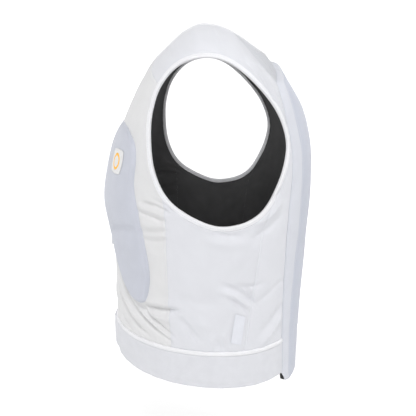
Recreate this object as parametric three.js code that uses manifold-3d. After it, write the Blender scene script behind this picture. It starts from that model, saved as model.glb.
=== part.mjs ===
// Equestrian body protector: a sleeveless, zipped riding vest with a rigid-looking padded back,
// in its worn, hollow form with nobody in it.
// Millimetres. +Z is up, the wearer faces -Y and the wearer's left is +X.
// The origin lies between the two points where the shoulders meet the neck opening.
import * as THREE from 'three';
import { mergeVertices } from 'three/addons/utils/BufferGeometryUtils.js';
import Module from 'manifold-3d';

// ---------- driving sizes ----------
const WALL = 2.5; // cloth of the panels
const SEAM = 0.2; // each panel stops this far short of a seam line
const LAY = 0.4; // clearance under a piece that lies on a panel
const BINDING_WIDTH = 6; // rolled tape round the neck and the armholes
const ZIP_HALF = 9; // the front panels stop this far from the centre line
const ZIP_WALL = 1.4;
const PIPING_LEVEL = 7.93; // middle of the piping over the waistband
const PIPING_HALF = 0.05; // half of its width, in levels
const HEM_LEVEL = 9;
const BELT_WALL = 3;
const BELT_LAP_ANGLE = 22; // the left end of the waistband laps over the right one by this much
const CHEST_PAD = 4.2; // how far the chest pads stand proud
const CHEST_EDGE = 1.2; // thickness left at their rim
const BACK_PAD = 6; // how far the back protector stands proud of the walls
const BACK_INSIDE = 3.4; // its depth inside the line of the walls
const COVER = 1.8; // cloth cover over the foam of the back protector
const SLIDER_HEIGHT = -272; // where the zip slider stands

// ---------- form of the garment ----------
// One row for each level from the neck to below the hem. "front" and "back" are the centre-line
// points, "side" is the widest point, "squareF" and "squareB" are the powers of the two half
// rings (2 is an ellipse), and "rise" says how late the ring climbs from the centre to the side.
const LEVELS = [
  {
    frontY: -66, frontZ: -38, sideX: 70, sideY: -3, sideZ: 0,
    backY: 75, backZ: -34, squareF: 2, squareB: 2, rise: 3,
  },
  {
    frontY: -78, frontZ: -54, sideX: 112, sideY: -2, sideZ: -12,
    backY: 86.8, backZ: -49.5, squareF: 2, squareB: 2.1, rise: 2.6,
  },
  {
    frontY: -94, frontZ: -84, sideX: 147, sideY: 0, sideZ: -40,
    backY: 101.5, backZ: -76.5, squareF: 2.1, squareB: 2.3, rise: 2.2,
  },
  {
    frontY: -112, frontZ: -124, sideX: 156, sideY: 2, sideZ: -90,
    backY: 119.5, backZ: -107, squareF: 2.2, squareB: 2.4, rise: 2,
  },
  {
    frontY: -128, frontZ: -172, sideX: 157, sideY: 4, sideZ: -154,
    backY: 131, backZ: -154, squareF: 2.2, squareB: 2.5, rise: 2,
  },
  {
    frontY: -136, frontZ: -220, sideX: 155, sideY: 6, sideZ: -214,
    backY: 132, backZ: -210, squareF: 2.2, squareB: 2.5, rise: 2,
  },
  {
    frontY: -130, frontZ: -270, sideX: 152, sideY: 9, sideZ: -270,
    backY: 129, backZ: -270, squareF: 2.2, squareB: 2.4, rise: 2,
  },
  {
    frontY: -128, frontZ: -335, sideX: 148, sideY: 12, sideZ: -335,
    backY: 126, backZ: -335, squareF: 2.1, squareB: 2.3, rise: 2,
  },
  {
    frontY: -130, frontZ: -402, sideX: 145, sideY: 15, sideZ: -402,
    backY: 122.5, backZ: -402, squareF: 1.95, squareB: 2.3, rise: 2,
  },
  {
    frontY: -129.5, frontZ: -444, sideX: 145, sideY: 16, sideZ: -444,
    backY: 121.5, backZ: -444, squareF: 1.9, squareB: 2.3, rise: 2,
  },
  {
    frontY: -129, frontZ: -486, sideX: 145, sideY: 17, sideZ: -486,
    backY: 120.5, backZ: -486, squareF: 1.9, squareB: 2.3, rise: 2,
  },
];

// A cubic through the rows of a table, read at a fractional row number.
function rowAt(rows, position, column) {
  const last = rows.length - 1;
  const first = Math.min(Math.max(Math.floor(position), 0), last - 1);
  const t = position - first;
  const value = (row) => rows[Math.min(Math.max(row, 0), last)][column];
  const slope = (row) => {
    if (row === 0) return value(1) - value(0);
    if (row === last) return value(last) - value(last - 1);
    return (value(row + 1) - value(row - 1)) / 2;
  };
  const t2 = t * t;
  const t3 = t2 * t;
  return (2 * t3 - 3 * t2 + 1) * value(first) + (t3 - 2 * t2 + t) * slope(first)
    + (3 * t2 - 2 * t3) * value(first + 1) + (t3 - t2) * slope(first + 1);
}

// A point of the smooth outer form. "angle" runs in degrees from the centre front (0) past the
// wearer's left side (90) to the centre back (180).
function form(angle, level) {
  const turn = THREE.MathUtils.degToRad(angle);
  const across = Math.sin(turn);
  const along = Math.cos(turn);
  const front = along >= 0;
  const at = (column) => rowAt(LEVELS, level, column);
  const sideX = at('sideX');
  const sideY = at('sideY');
  const depth = Math.abs(at(front ? 'frontY' : 'backY') - sideY);
  const power = at(front ? 'squareF' : 'squareB');
  const centreZ = at(front ? 'frontZ' : 'backZ');
  const reach = (Math.abs(across / sideX) ** power + Math.abs(along / depth) ** power) ** (-1 / power);
  const climb = Math.abs((reach * across) / sideX) ** at('rise');
  return new THREE.Vector3(reach * across, sideY - reach * along, centreZ + (at('sideZ') - centreZ) * climb);
}

const ANGLE_STEP = 0.5;
const LEVEL_STEP = 0.02;
function slopes(angle, level) {
  const round = form(angle + ANGLE_STEP, level)
    .sub(form(angle - ANGLE_STEP, level))
    .divideScalar(2 * ANGLE_STEP);
  const down = form(angle, level + LEVEL_STEP)
    .sub(form(angle, level - LEVEL_STEP))
    .divideScalar(2 * LEVEL_STEP);
  return { round, down };
}
function outward(angle, level) {
  const { round, down } = slopes(angle, level);
  return new THREE.Vector3().crossVectors(down, round).normalize();
}

// Largest folds of the cloth, each a soft ridge (depth > 0) or trough along a line on the form,
// on both sides of the garment. "width" is the half-width in mm.
const FOLDS = [
  { fromAngle: 50, fromLevel: 7.2, toAngle: 72, toLevel: 7.16, depth: -2.2, width: 6 },
  { fromAngle: 46, fromLevel: 7.22, toAngle: 66, toLevel: 7.84, depth: 2.4, width: 8 },
  { fromAngle: 36, fromLevel: 7.14, toAngle: 64, toLevel: 7.86, depth: -2.6, width: 7 },
  { fromAngle: 30, fromLevel: 7.0, toAngle: 54, toLevel: 7.82, depth: 2.2, width: 8 },
  { fromAngle: 24, fromLevel: 7.0, toAngle: 40, toLevel: 7.72, depth: -1.6, width: 8 },
  { fromAngle: 56, fromLevel: 5.35, toAngle: 72, toLevel: 5.3, depth: -1.6, width: 6 },
  { fromAngle: 57, fromLevel: 5.7, toAngle: 70, toLevel: 5.66, depth: 1.4, width: 7 },
  { fromAngle: 97, fromLevel: 6.75, toAngle: 107, toLevel: 7.1, depth: -1.8, width: 8 },
  { fromAngle: 104, fromLevel: 6.68, toAngle: 116, toLevel: 6.74, depth: -1.6, width: 7 },
  { fromAngle: 88, fromLevel: 7.3, toAngle: 84, toLevel: 7.84, depth: -1.6, width: 10 },
  { fromAngle: 115, fromLevel: 7.1, toAngle: 112, toLevel: 7.8, depth: -1.6, width: 9 },
  { fromAngle: 98, fromLevel: 6.1, toAngle: 108, toLevel: 5.7, depth: 1.4, width: 12 },
];
// Millimetres for each degree and each level round the middle of every fold.
for (const fold of FOLDS) {
  const { round, down } = slopes((fold.fromAngle + fold.toAngle) / 2, (fold.fromLevel + fold.toLevel) / 2);
  fold.spanRound = (fold.toAngle - fold.fromAngle) * round.length();
  fold.spanDown = (fold.toLevel - fold.fromLevel) * down.length();
  fold.perDegree = round.length();
  fold.perLevel = down.length();
}
function foldHeight(angle, level) {
  const side = Math.abs(angle > 180 ? 360 - angle : angle);
  let height = 0;
  for (const fold of FOLDS) {
    const round = (side - fold.fromAngle) * fold.perDegree;
    const down = (level - fold.fromLevel) * fold.perLevel;
    const t = (round * fold.spanRound + down * fold.spanDown) / (fold.spanRound ** 2 + fold.spanDown ** 2);
    const off = (round - t * fold.spanRound) ** 2 + (down - t * fold.spanDown) ** 2;
    const ends = THREE.MathUtils.smoothstep(t, -0.15, 0.25) * (1 - THREE.MathUtils.smoothstep(t, 0.75, 1.15));
    height += fold.depth * ends * Math.exp(-off / fold.width ** 2);
  }
  return height;
}

// A point that lies "out" mm outside the form, with the cloth's folds.
function skin({ angle, level }, out) {
  return form(angle, level).addScaledVector(outward(angle, level), out + foldHeight(angle, level));
}

// ---------- lines on the form ----------
const at = (angle, level) => ({ angle, level });
const between = (p, q, t) => at(p.angle + (q.angle - p.angle) * t, p.level + (q.level - p.level) * t);
const mirrored = ({ angle, level }) => at(360 - angle, level);
const apart = (p, q) => form(p.angle, p.level).distanceTo(form(q.angle, q.level));
const fractions = (steps) => Array.from({ length: steps + 1 }, (_, i) => i / steps);

// A smooth line through the rows of a table, cut into equal steps.
function line(rows, steps) {
  return fractions(steps).map((t) => {
    const position = t * (rows.length - 1);
    return at(rowAt(rows, position, 'angle'), rowAt(rows, position, 'level'));
  });
}
// Several lines one after the other, each starting where the last one ends.
const chain = (...lines) => lines.flatMap((part, i) => (i === 0 ? part : part.slice(1)));
const reversed = (path) => [...path].reverse();

// The line moved over the form by a distance in mm, to the side that lies left of its travel when
// it is seen from outside. A closed line ends where it starts.
function shifted(path, distance) {
  const closed = apart(path[0], path[path.length - 1]) < 1e-6;
  const last = path.length - 1;
  return path.map((place, i) => {
    const before = path[i > 0 ? i - 1 : closed ? last - 1 : 0];
    const after = path[i < last ? i + 1 : closed ? 1 : last];
    const travel = form(after.angle, after.level).sub(form(before.angle, before.level)).normalize();
    const { round, down } = slopes(place.angle, place.level);
    const normal = new THREE.Vector3().crossVectors(down, round).normalize();
    const aside = new THREE.Vector3().crossVectors(normal, travel).multiplyScalar(distance);
    const roundLength = round.dot(round);
    const downLength = down.dot(down);
    const mixed = round.dot(down);
    const area = roundLength * downLength - mixed ** 2;
    const alongRound = (round.dot(aside) * downLength - down.dot(aside) * mixed) / area;
    const alongDown = (down.dot(aside) * roundLength - round.dot(aside) * mixed) / area;
    return at(place.angle + alongRound, place.level + alongDown);
  });
}

// The angle at which the front half of a level lies x mm from the centre line.
function angleAcross(x, level) {
  let angle = 0;
  for (let step = 0; step < 6; step += 1) {
    const here = form(angle, level).x;
    const beyond = form(angle + ANGLE_STEP, level).x;
    angle += ((x - here) * ANGLE_STEP) / (beyond - here);
  }
  return angle;
}

// The level at which the centre front lies at a height.
function levelAtHeight(height) {
  let [above, below] = [0, LEVELS.length - 1];
  for (let step = 0; step < 30; step += 1) {
    const middle = (above + below) / 2;
    if (form(0, middle).z > height) above = middle;
    else below = middle;
  }
  return (above + below) / 2;
}

const besideCentre = (x, fromLevel, toLevel, steps) => fractions(steps).map((t) => {
  const level = fromLevel + (toLevel - fromLevel) * t;
  return at(angleAcross(x, level), level);
});

// The armhole's edge, from its top round behind, underneath and up in front.
const ARMHOLE = [
  { angle: 90.7, level: 2.0 },
  { angle: 101, level: 2.16 },
  { angle: 112.1, level: 2.59 },
  { angle: 120.7, level: 3.04 },
  { angle: 125.3, level: 3.45 },
  { angle: 126.3, level: 3.8 },
  { angle: 123.5, level: 4.22 },
  { angle: 119.2, level: 4.6 },
  { angle: 114.7, level: 4.91 },
  { angle: 109.5, level: 5.13 },
  { angle: 101.4, level: 5.29 },
  { angle: 90.5, level: 5.31 },
  { angle: 78.1, level: 5.04 },
  { angle: 69.6, level: 4.69 },
  { angle: 64.4, level: 4.14 },
  { angle: 62.8, level: 3.5 },
  { angle: 63.7, level: 2.97 },
  { angle: 67.7, level: 2.48 },
  { angle: 76.9, level: 2.1 },
];
const BEHIND_ROW = 4; // where the yoke meets the back side panel
const REAR_SEAM_ROW = 8;
const FRONT_SEAM_ROW = 13;
const YOKE_ROW = 17; // where the yoke meets the front panel
const ARMHOLE_STEPS = 2; // steps between two rows
const armholeEdge = closedLine(ARMHOLE, ARMHOLE_STEPS);
const armholeCut = shifted(armholeEdge, BINDING_WIDTH);
const armholePart = (fromRow, toRow) => armholeCut.slice(fromRow * ARMHOLE_STEPS, toRow * ARMHOLE_STEPS + 1);

// A smooth closed line through the rows, ending on its first point.
function closedLine(rows, steps) {
  const around = [rows[rows.length - 1], ...rows, rows[0], rows[1]];
  return Array.from({ length: rows.length * steps + 1 }, (_, i) => {
    const position = 1 + (i % (rows.length * steps)) / steps;
    return at(rowAt(around, position, 'angle'), rowAt(around, position, 'level'));
  });
}

// The neck edge, from the wearer's right front round the back to the left front.
const NECK_GAP_ANGLE = 0.7; // half of the gap that the zip leaves at the centre front
const NECK_YOKE_FRONT = 30; // the yoke's front and back seams reach the neck here
const NECK_YOKE_BACK = 117;
const NECK_STEPS = { front: 4, yoke: 6, back: 12 };
const BELT_TOP = PIPING_LEVEL + PIPING_HALF;
const PANEL_END = PIPING_LEVEL - PIPING_HALF;
const neckRun = (fromAngle, toAngle, steps) => fractions(steps)
  .map((t) => at(fromAngle + (toAngle - fromAngle) * t, 0));
const zipNeckAngle = angleAcross(ZIP_HALF, 0);
const leftNeck = chain(
  neckRun(NECK_YOKE_BACK, NECK_YOKE_FRONT, NECK_STEPS.yoke),
  neckRun(NECK_YOKE_FRONT, zipNeckAngle, NECK_STEPS.front),
);
const backNeck = neckRun(360 - NECK_YOKE_BACK, NECK_YOKE_BACK, NECK_STEPS.back);
const neckEdge = chain(
  [at(360 - NECK_GAP_ANGLE, 0), ...reversed(leftNeck).map(mirrored)],
  backNeck,
  [...leftNeck, at(NECK_GAP_ANGLE, 0)],
);
const neckCut = shifted(neckEdge, BINDING_WIDTH);
const RIGHT_NECK_STEPS = 1 + NECK_STEPS.front + NECK_STEPS.yoke;
const backNeckCut = neckCut.slice(RIGHT_NECK_STEPS, RIGHT_NECK_STEPS + NECK_STEPS.back + 1);
const yokeNeckStart = RIGHT_NECK_STEPS + NECK_STEPS.back;
const yokeNeckCut = neckCut.slice(yokeNeckStart, yokeNeckStart + NECK_STEPS.yoke + 1);
const frontNeckStart = yokeNeckStart + NECK_STEPS.yoke;
const frontNeckCut = neckCut.slice(frontNeckStart, frontNeckStart + NECK_STEPS.front + 1);

// Seams of the left half. Their ends are taken from the neck and armhole lines.
const YOKE_BACK_SEAM = [
  { angle: 112.6, level: 0.68 },
  { angle: 113.2, level: 1.22 },
  { angle: 116.2, level: 1.79 },
];
const FRONT_SEAM = [
  { angle: 68.5, level: 5.25 },
  { angle: 67.5, level: 6 },
  { angle: 66.3, level: 6.8 },
  { angle: 65.4, level: 7.5 },
];
const REAR_SEAM = [
  { angle: 112.4, level: 5.45 },
  { angle: 110.2, level: 6.05 },
  { angle: 107.8, level: 6.7 },
  { angle: 105, level: 7.25 },
];
const FRONT_SEAM_END = 65.2;
const REAR_SEAM_END = 102.2;
// The edge of the back protector, from its upper corner to the hem.
const PAD_EDGE = [
  { angle: 126, level: 2.32 },
  { angle: 126.2, level: 2.8 },
  { angle: 127.6, level: 3.3 },
  { angle: 129.8, level: 3.9 },
  { angle: 129.6, level: 4.5 },
  { angle: 128.4, level: 5.1 },
  { angle: 127.8, level: 5.7 },
  { angle: 127.9, level: 6.4 },
  { angle: 128, level: 7.1 },
  { angle: 128.1, level: 7.88 },
];
const SEAM_STEPS = 13;
const YOKE_STEPS = 6; // across the shoulder strap
const YOKE_BACK_STEPS = 4;
const BACK_SIDE_STEPS = 5;
const padCorner = at(PAD_EDGE[0].angle, PAD_EDGE[0].level);
const padBehind = at(PAD_EDGE[2].angle, PAD_EDGE[2].level);
const yokeFrontSeam = line([frontNeckCut[0], armholePart(YOKE_ROW, YOKE_ROW)[0]], YOKE_STEPS);
const yokeBackSeam = line([yokeNeckCut[0], ...YOKE_BACK_SEAM, padCorner], YOKE_BACK_STEPS);
const behindSeam = line([padBehind, armholePart(BEHIND_ROW, BEHIND_ROW)[0]], YOKE_STEPS);
const frontSeam = line(
  [armholePart(FRONT_SEAM_ROW, FRONT_SEAM_ROW)[0], ...FRONT_SEAM, at(FRONT_SEAM_END, PANEL_END)],
  SEAM_STEPS,
);
const rearSeam = line(
  [armholePart(REAR_SEAM_ROW, REAR_SEAM_ROW)[0], ...REAR_SEAM, at(REAR_SEAM_END, PANEL_END)],
  SEAM_STEPS,
);
const padEdgeUpper = line(PAD_EDGE.slice(0, 3), 2);
const padEdgeLower = line(PAD_EDGE.slice(2), (REAR_SEAM_ROW - BEHIND_ROW) * ARMHOLE_STEPS + SEAM_STEPS);

// ---------- solids from the form ----------
const leftHalf = { name: 'left', flip: false };
const rightHalf = { name: 'right', flip: true };

// Places spread between four lines: rows go from top to bottom, columns from left to right.
function patch({ top, bottom, left, right }) {
  const rows = left.length - 1;
  const columns = top.length - 1;
  return left.map((leftPlace, i) => top.map((topPlace, j) => {
    const down = i / rows;
    const across = j / columns;
    const mix = (key) => (1 - across) * leftPlace[key] + across * right[i][key]
      + (1 - down) * topPlace[key] + down * bottom[j][key]
      - (1 - down) * ((1 - across) * top[0][key] + across * top[columns][key])
      - down * ((1 - across) * bottom[0][key] + across * bottom[columns][key]);
    return at(mix('angle'), mix('level'));
  }));
}

// The patch drawn in by the seam clearance on all of its edges.
function seamed(grid, clearance = SEAM) {
  const pulled = (place, inner) => between(place, inner, clearance / apart(place, inner));
  const last = grid.length - 1;
  const rows = grid.map((row, i) => {
    if (i === 0) return row.map((place, j) => pulled(place, grid[1][j]));
    if (i === last) return row.map((place, j) => pulled(place, grid[last - 1][j]));
    return row;
  });
  return rows.map((row) => [
    pulled(row[0], row[1]),
    ...row.slice(1, -1),
    pulled(row[row.length - 1], row[row.length - 2]),
  ]);
}

// A closed body between two skins over a patch. "outer" and "inner" give the heights in mm at
// row i and column j.
function wall(grid, outer, inner, flip = false) {
  const heightOf = (height, i, j) => (typeof height === 'function' ? height(i, j) : height);
  const columns = grid[0].length;
  const outside = grid.flatMap((row, i) => row.map((place, j) => skin(place, heightOf(outer, i, j))));
  const inside = grid.flatMap((row, i) => row.map((place, j) => skin(place, heightOf(inner, i, j))));
  const faces = [];
  const quad = (a, b, c, d) => faces.push([a, b, c], [a, c, d]);
  const index = (i, j) => i * columns + j;
  const shift = outside.length;
  for (let i = 0; i < grid.length - 1; i += 1) {
    for (let j = 0; j < columns - 1; j += 1) {
      const corners = [index(i, j), index(i + 1, j), index(i + 1, j + 1), index(i, j + 1)];
      quad(...corners);
      const [a, b, c, d] = corners.map((corner) => corner + shift);
      quad(a, d, c, b);
    }
  }
  const lastRow = grid.length - 1;
  const lastColumn = columns - 1;
  const rim = [
    ...grid.map((_, i) => index(i, 0)),
    ...grid[0].map((_, j) => index(lastRow, j)).slice(1),
    ...grid.map((_, i) => index(lastRow - i, lastColumn)).slice(1),
    ...grid[0].map((_, j) => index(0, lastColumn - j)).slice(1),
  ];
  for (let k = 0; k < rim.length - 1; k += 1) {
    quad(rim[k + 1], rim[k], rim[k] + shift, rim[k + 1] + shift);
  }
  return bodyOf([...outside, ...inside], faces, flip);
}

// A closed body that carries a section along a line on the form. The section's corners are
// { aside, out } in mm and turn left as they are seen looking back along the line.
function rolled(path, section, flip = false) {
  const closed = apart(path[0], path[path.length - 1]) < 1e-6;
  const places = closed ? path.slice(0, -1) : path;
  const moved = section.map(({ aside }) => shifted(path, aside));
  const points = places.flatMap((_, i) => section.map(({ out }, k) => skin(moved[k][i], out)));
  const around = section.length;
  const faces = [];
  const rings = closed ? places.length : places.length - 1;
  for (let i = 0; i < rings; i += 1) {
    const here = i * around;
    const next = ((i + 1) % places.length) * around;
    for (let k = 0; k < around; k += 1) {
      const turn = (k + 1) % around;
      faces.push([here + k, here + turn, next + turn], [here + k, next + turn, next + k]);
    }
  }
  if (!closed) {
    const end = (places.length - 1) * around;
    for (let k = 1; k < around - 1; k += 1) {
      faces.push([0, k + 1, k], [end, end + k, end + k + 1]);
    }
  }
  return bodyOf(points, faces, flip);
}

// "flip" gives the same body on the wearer's other side.
function bodyOf(points, faces, flip) {
  const geometry = new THREE.BufferGeometry();
  const positions = points.flatMap(({ x, y, z }) => [flip ? -x : x, y, z]);
  geometry.setAttribute('position', new THREE.Float32BufferAttribute(positions, 3));
  geometry.setIndex(faces.flatMap(([a, b, c]) => (flip ? [a, c, b] : [a, b, c])));
  geometry.computeVertexNormals();
  return geometry;
}

// ---------- materials ----------
const cloth = (color) => new THREE.MeshStandardMaterial({ color, roughness: 0.85, metalness: 0 });
const warmWhite = cloth(0xe9e7e6);
const coolWhite = cloth(0xe6e7ec);
const bandWhite = cloth(0xe2e3e8);
const bindingWhite = cloth(0xf2f2f5);
const blueGrey = cloth(0xccced8);
const padGrey = cloth(0xc2c5d0);
const meshGrey = cloth(0xd2d4dc);
const darkFoam = cloth(0x3a3a3c);
const tapeGrey = cloth(0xd8d9de);
const patchWhite = cloth(0xeeeeee);
const zipPlastic = new THREE.MeshStandardMaterial({ color: 0xc4c5c8, roughness: 0.45, metalness: 0 });

const vest = new THREE.Group();
vest.name = 'equestrian_body_protector';
function add(name, geometry, material) {
  const mesh = new THREE.Mesh(geometry, material);
  mesh.name = name;
  vest.add(mesh);
  return mesh;
}

// ---------- front, side, back and shoulder panels ----------
const flat = (fromAngle, toAngle, level, steps) => fractions(steps)
  .map((t) => at(fromAngle + (toAngle - fromAngle) * t, level));
const PAD_EDGE_END = PAD_EDGE[PAD_EDGE.length - 1].angle;
const frontTop = chain(reversed(frontNeckCut), yokeFrontSeam);
const frontSteps = frontTop.length - 1;
const frontRows = (YOKE_ROW - FRONT_SEAM_ROW) * ARMHOLE_STEPS + SEAM_STEPS;
const frontEdge = besideCentre(ZIP_HALF, frontTop[0].level, PANEL_END, frontRows);
frontTop[0] = frontEdge[0];
const frontGrid = patch({
  top: frontTop,
  bottom: flat(frontEdge[frontRows].angle, FRONT_SEAM_END, PANEL_END, frontSteps),
  left: frontEdge,
  right: chain(reversed(armholePart(FRONT_SEAM_ROW, YOKE_ROW)), frontSeam),
});
const sideTop = reversed(armholePart(REAR_SEAM_ROW, FRONT_SEAM_ROW));
const sideGrid = patch({
  top: sideTop,
  bottom: flat(FRONT_SEAM_END, REAR_SEAM_END, PANEL_END, sideTop.length - 1),
  left: frontSeam,
  right: rearSeam,
});
const backSideGrid = patch({
  top: line(reversed(behindSeam), BACK_SIDE_STEPS),
  bottom: flat(REAR_SEAM_END, PAD_EDGE_END, PANEL_END, BACK_SIDE_STEPS),
  left: chain(armholePart(BEHIND_ROW, REAR_SEAM_ROW), rearSeam),
  right: padEdgeLower,
});
const yokeGrid = patch({
  top: chain(reversed(yokeNeckCut), yokeBackSeam, padEdgeUpper),
  bottom: chain(armholePart(YOKE_ROW, ARMHOLE.length), armholePart(0, BEHIND_ROW)),
  left: yokeFrontSeam,
  right: behindSeam,
});
for (const { name, flip } of [leftHalf, rightHalf]) {
  add(`front_${name}`, wall(seamed(frontGrid), 0, -WALL, flip), warmWhite);
  add(`side_${name}`, wall(seamed(sideGrid), 0, -WALL, flip), coolWhite);
  add(`back_side_${name}`, wall(seamed(backSideGrid), 0, -WALL, flip), coolWhite);
  add(`yoke_${name}`, wall(seamed(yokeGrid), 0, -WALL, flip), coolWhite);
}

// ---------- back protector and the panel above it ----------
// Columns lie closer together near the two edges, where the pad curves down to its seam.
const PAD_COLUMNS = [0, 0.03, 0.08, 0.15, 0.25, 0.37, 0.5];
const padFractions = [...PAD_COLUMNS, ...PAD_COLUMNS.slice(0, -1).reverse().map((t) => 1 - t)];
const PAD_TOP_CENTRE = 0.74;
const TAIL_CENTRE = 9.42;
const arched = (corner, centreLevel) => padFractions.map((t) => {
  const rise = Math.sin(Math.PI * t) ** 0.85;
  return at(corner.angle + (360 - 2 * corner.angle) * t, corner.level + (centreLevel - corner.level) * rise);
});
const padTop = arched(padCorner, PAD_TOP_CENTRE);
const PAD_TAIL = [
  { angle: 128.2, level: BELT_TOP },
  { angle: 128.4, level: 8.3 },
  { angle: 128.6, level: 8.65 },
  { angle: 128.8, level: HEM_LEVEL },
  { angle: 130.4, level: 9.3 },
].map(({ angle, level }) => at(angle, level));
const padLeft = chain(padEdgeUpper, padEdgeLower, [padEdgeLower[padEdgeLower.length - 1], ...PAD_TAIL]);
const tail = arched(PAD_TAIL[PAD_TAIL.length - 1], TAIL_CENTRE);
const padGrid = seamed(patch({ top: padTop, bottom: tail, left: padLeft, right: padLeft.map(mirrored) }));
// Width of the slope at the pad's edge, in mm: broad over the shoulder blades, narrow at the waist.
const SLOPES = [
  { level: 2, width: 14 },
  { level: 3.5, width: 18 },
  { level: 4.6, width: 22 },
  { level: 5.6, width: 20 },
  { level: 6.6, width: 14 },
  { level: 7.6, width: 9 },
  { level: 10, width: 8 },
];
const slopeWidth = (level) => {
  const next = Math.max(SLOPES.findIndex((row) => row.level > level), 1);
  const [before, after] = [SLOPES[next - 1], SLOPES[next]];
  const t = Math.min(Math.max((level - before.level) / (after.level - before.level), 0), 1);
  return before.width + (after.width - before.width) * t;
};
const TOP_SLOPE = 9;
const TAIL_END = 0.8; // share of the full thickness that the tail keeps at its open end
const swell = (t) => Math.sin((Math.min(t, 1) * Math.PI) / 2);
const padHeight = (i, j) => {
  const row = padGrid[i];
  const place = row[j];
  const fromSide = Math.min(apart(place, row[0]), apart(place, row[row.length - 1]));
  const fromTop = apart(place, padGrid[0][j]);
  const open = TAIL_END * THREE.MathUtils.smoothstep(place.level, HEM_LEVEL - 0.05, HEM_LEVEL + 0.2);
  return BACK_PAD * Math.max(swell(fromSide / slopeWidth(place.level)) * swell(fromTop / TOP_SLOPE), open);
};
add('protector_cover', wall(padGrid, padHeight, (i, j) => padHeight(i, j) - COVER), padGrey);
add('protector_foam', wall(padGrid, (i, j) => padHeight(i, j) - COVER - LAY, -BACK_INSIDE), darkFoam);

const upperBackGrid = patch({
  top: reversed(backNeckCut),
  bottom: padTop,
  left: yokeBackSeam,
  right: yokeBackSeam.map(mirrored),
});
add('upper_back', wall(seamed(upperBackGrid, 1.5 * SEAM), 0, -WALL), meshGrey);

// ---------- chest pads ----------
const CHEST_SIDE = [
  { angle: 44, level: 3.22 },
  { angle: 52.3, level: 3.58 },
  { angle: 54.2, level: 3.95 },
  { angle: 52.8, level: 4.5 },
  { angle: 54.4, level: 5.05 },
  { angle: 55.6, level: 5.6 },
  { angle: 57, level: 6.15 },
  { angle: 56.8, level: 6.6 },
  { angle: 53.2, level: 7.04 },
];
const CHEST_TOP = [{ angle: 24, level: 2.97 }, { angle: 35, level: 3.06 }];
const CHEST_ARCH = [
  { angle: 22, level: 5.95 },
  { angle: 31, level: 6.55 },
  { angle: 40, level: 7.02 },
  { angle: 48, level: 7.13 },
];
const CHEST_HALF = ZIP_HALF + 4; // the chest pads stop this far from the centre line
const CHEST_TOP_LEVEL = 2.93;
const CHEST_LOW_LEVEL = 5.72;
const CHEST_ROWS = 15;
const CHEST_COLUMNS = 9;
const CHEST_LAY = 0.7;
const CHEST_SLOPE = 7;
const CHEST_TOP_SLOPE = 34; // the pads thin out slowly towards their tops
const chestEdge = besideCentre(CHEST_HALF, CHEST_TOP_LEVEL, CHEST_LOW_LEVEL, CHEST_ROWS);
const chestSide = line(CHEST_SIDE, CHEST_ROWS);
const chestGrid = patch({
  top: line([chestEdge[0], ...CHEST_TOP, chestSide[0]], CHEST_COLUMNS),
  bottom: line([chestEdge[CHEST_ROWS], ...CHEST_ARCH, chestSide[CHEST_ROWS]], CHEST_COLUMNS),
  left: chestEdge,
  right: chestSide,
});
const chestHeight = (i, j) => {
  const place = chestGrid[i][j];
  const rim = Math.min(
    apart(place, chestGrid[i][0]),
    apart(place, chestGrid[i][CHEST_COLUMNS]),
    apart(place, chestGrid[0][j]) * (CHEST_SLOPE / CHEST_TOP_SLOPE),
    apart(place, chestGrid[CHEST_ROWS][j]),
  );
  return CHEST_LAY + CHEST_EDGE + (CHEST_PAD - CHEST_EDGE) * swell(rim / CHEST_SLOPE);
};
for (const { name, flip } of [leftHalf, rightHalf]) {
  add(`chest_pad_${name}`, wall(chestGrid, chestHeight, CHEST_LAY, flip), blueGrey);
}

// ---------- waistband ----------
const BAND_OUT = 1; // the waistband stands this far proud
const LAP_START = 3; // the lap leans out between these two angles
const LAP_END = 12;
const BAND_ROWS = 4;
const BAND_COLUMNS = 22;
const bandEdge = PAD_TAIL.slice(0, BAND_ROWS); // where the waistband meets the back protector
const lapLift = (angle) => (BELT_WALL + LAY) * (1 - THREE.MathUtils.smoothstep(angle, LAP_START, LAP_END));
function band(fromAngle, lifted, flip) {
  const levels = bandEdge.map(({ level }) => level);
  const steps = BAND_COLUMNS + (lifted ? BAND_ROWS : 0);
  const grid = seamed(patch({
    top: flat(fromAngle, bandEdge[0].angle, levels[0], steps),
    bottom: flat(fromAngle, bandEdge[BAND_ROWS - 1].angle, HEM_LEVEL, steps),
    left: levels.map((level) => at(fromAngle, level)),
    right: bandEdge,
  }));
  const lift = (i, j) => (lifted ? lapLift(grid[i][j].angle) : 0);
  return wall(grid, (i, j) => BAND_OUT + lift(i, j), (i, j) => BAND_OUT - BELT_WALL + lift(i, j), flip);
}
add('waistband_left', band(-BELT_LAP_ANGLE, true, false), bandWhite);
add('waistband_right', band(NECK_GAP_ANGLE, false, true), bandWhite);

const PIPING_HEIGHTS = [0.3, 1.5, 0.3];
const pipingStart = 1;
const pipingEnd = (PAD_EDGE_END + PAD_TAIL[0].angle) / 2;
const pipingGrid = seamed(patch({
  top: flat(pipingStart, PAD_EDGE_END, PANEL_END, BAND_COLUMNS),
  bottom: flat(pipingStart, PAD_TAIL[0].angle, BELT_TOP, BAND_COLUMNS),
  left: [PANEL_END, PIPING_LEVEL, BELT_TOP].map((level) => at(pipingStart, level)),
  right: [PANEL_END, PIPING_LEVEL, BELT_TOP].map((level) => at(pipingEnd, level)),
}));
for (const { name, flip } of [leftHalf, rightHalf]) {
  add(`waist_piping_${name}`, wall(pipingGrid, (i) => PIPING_HEIGHTS[i], -2, flip), bindingWhite);
}

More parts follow.
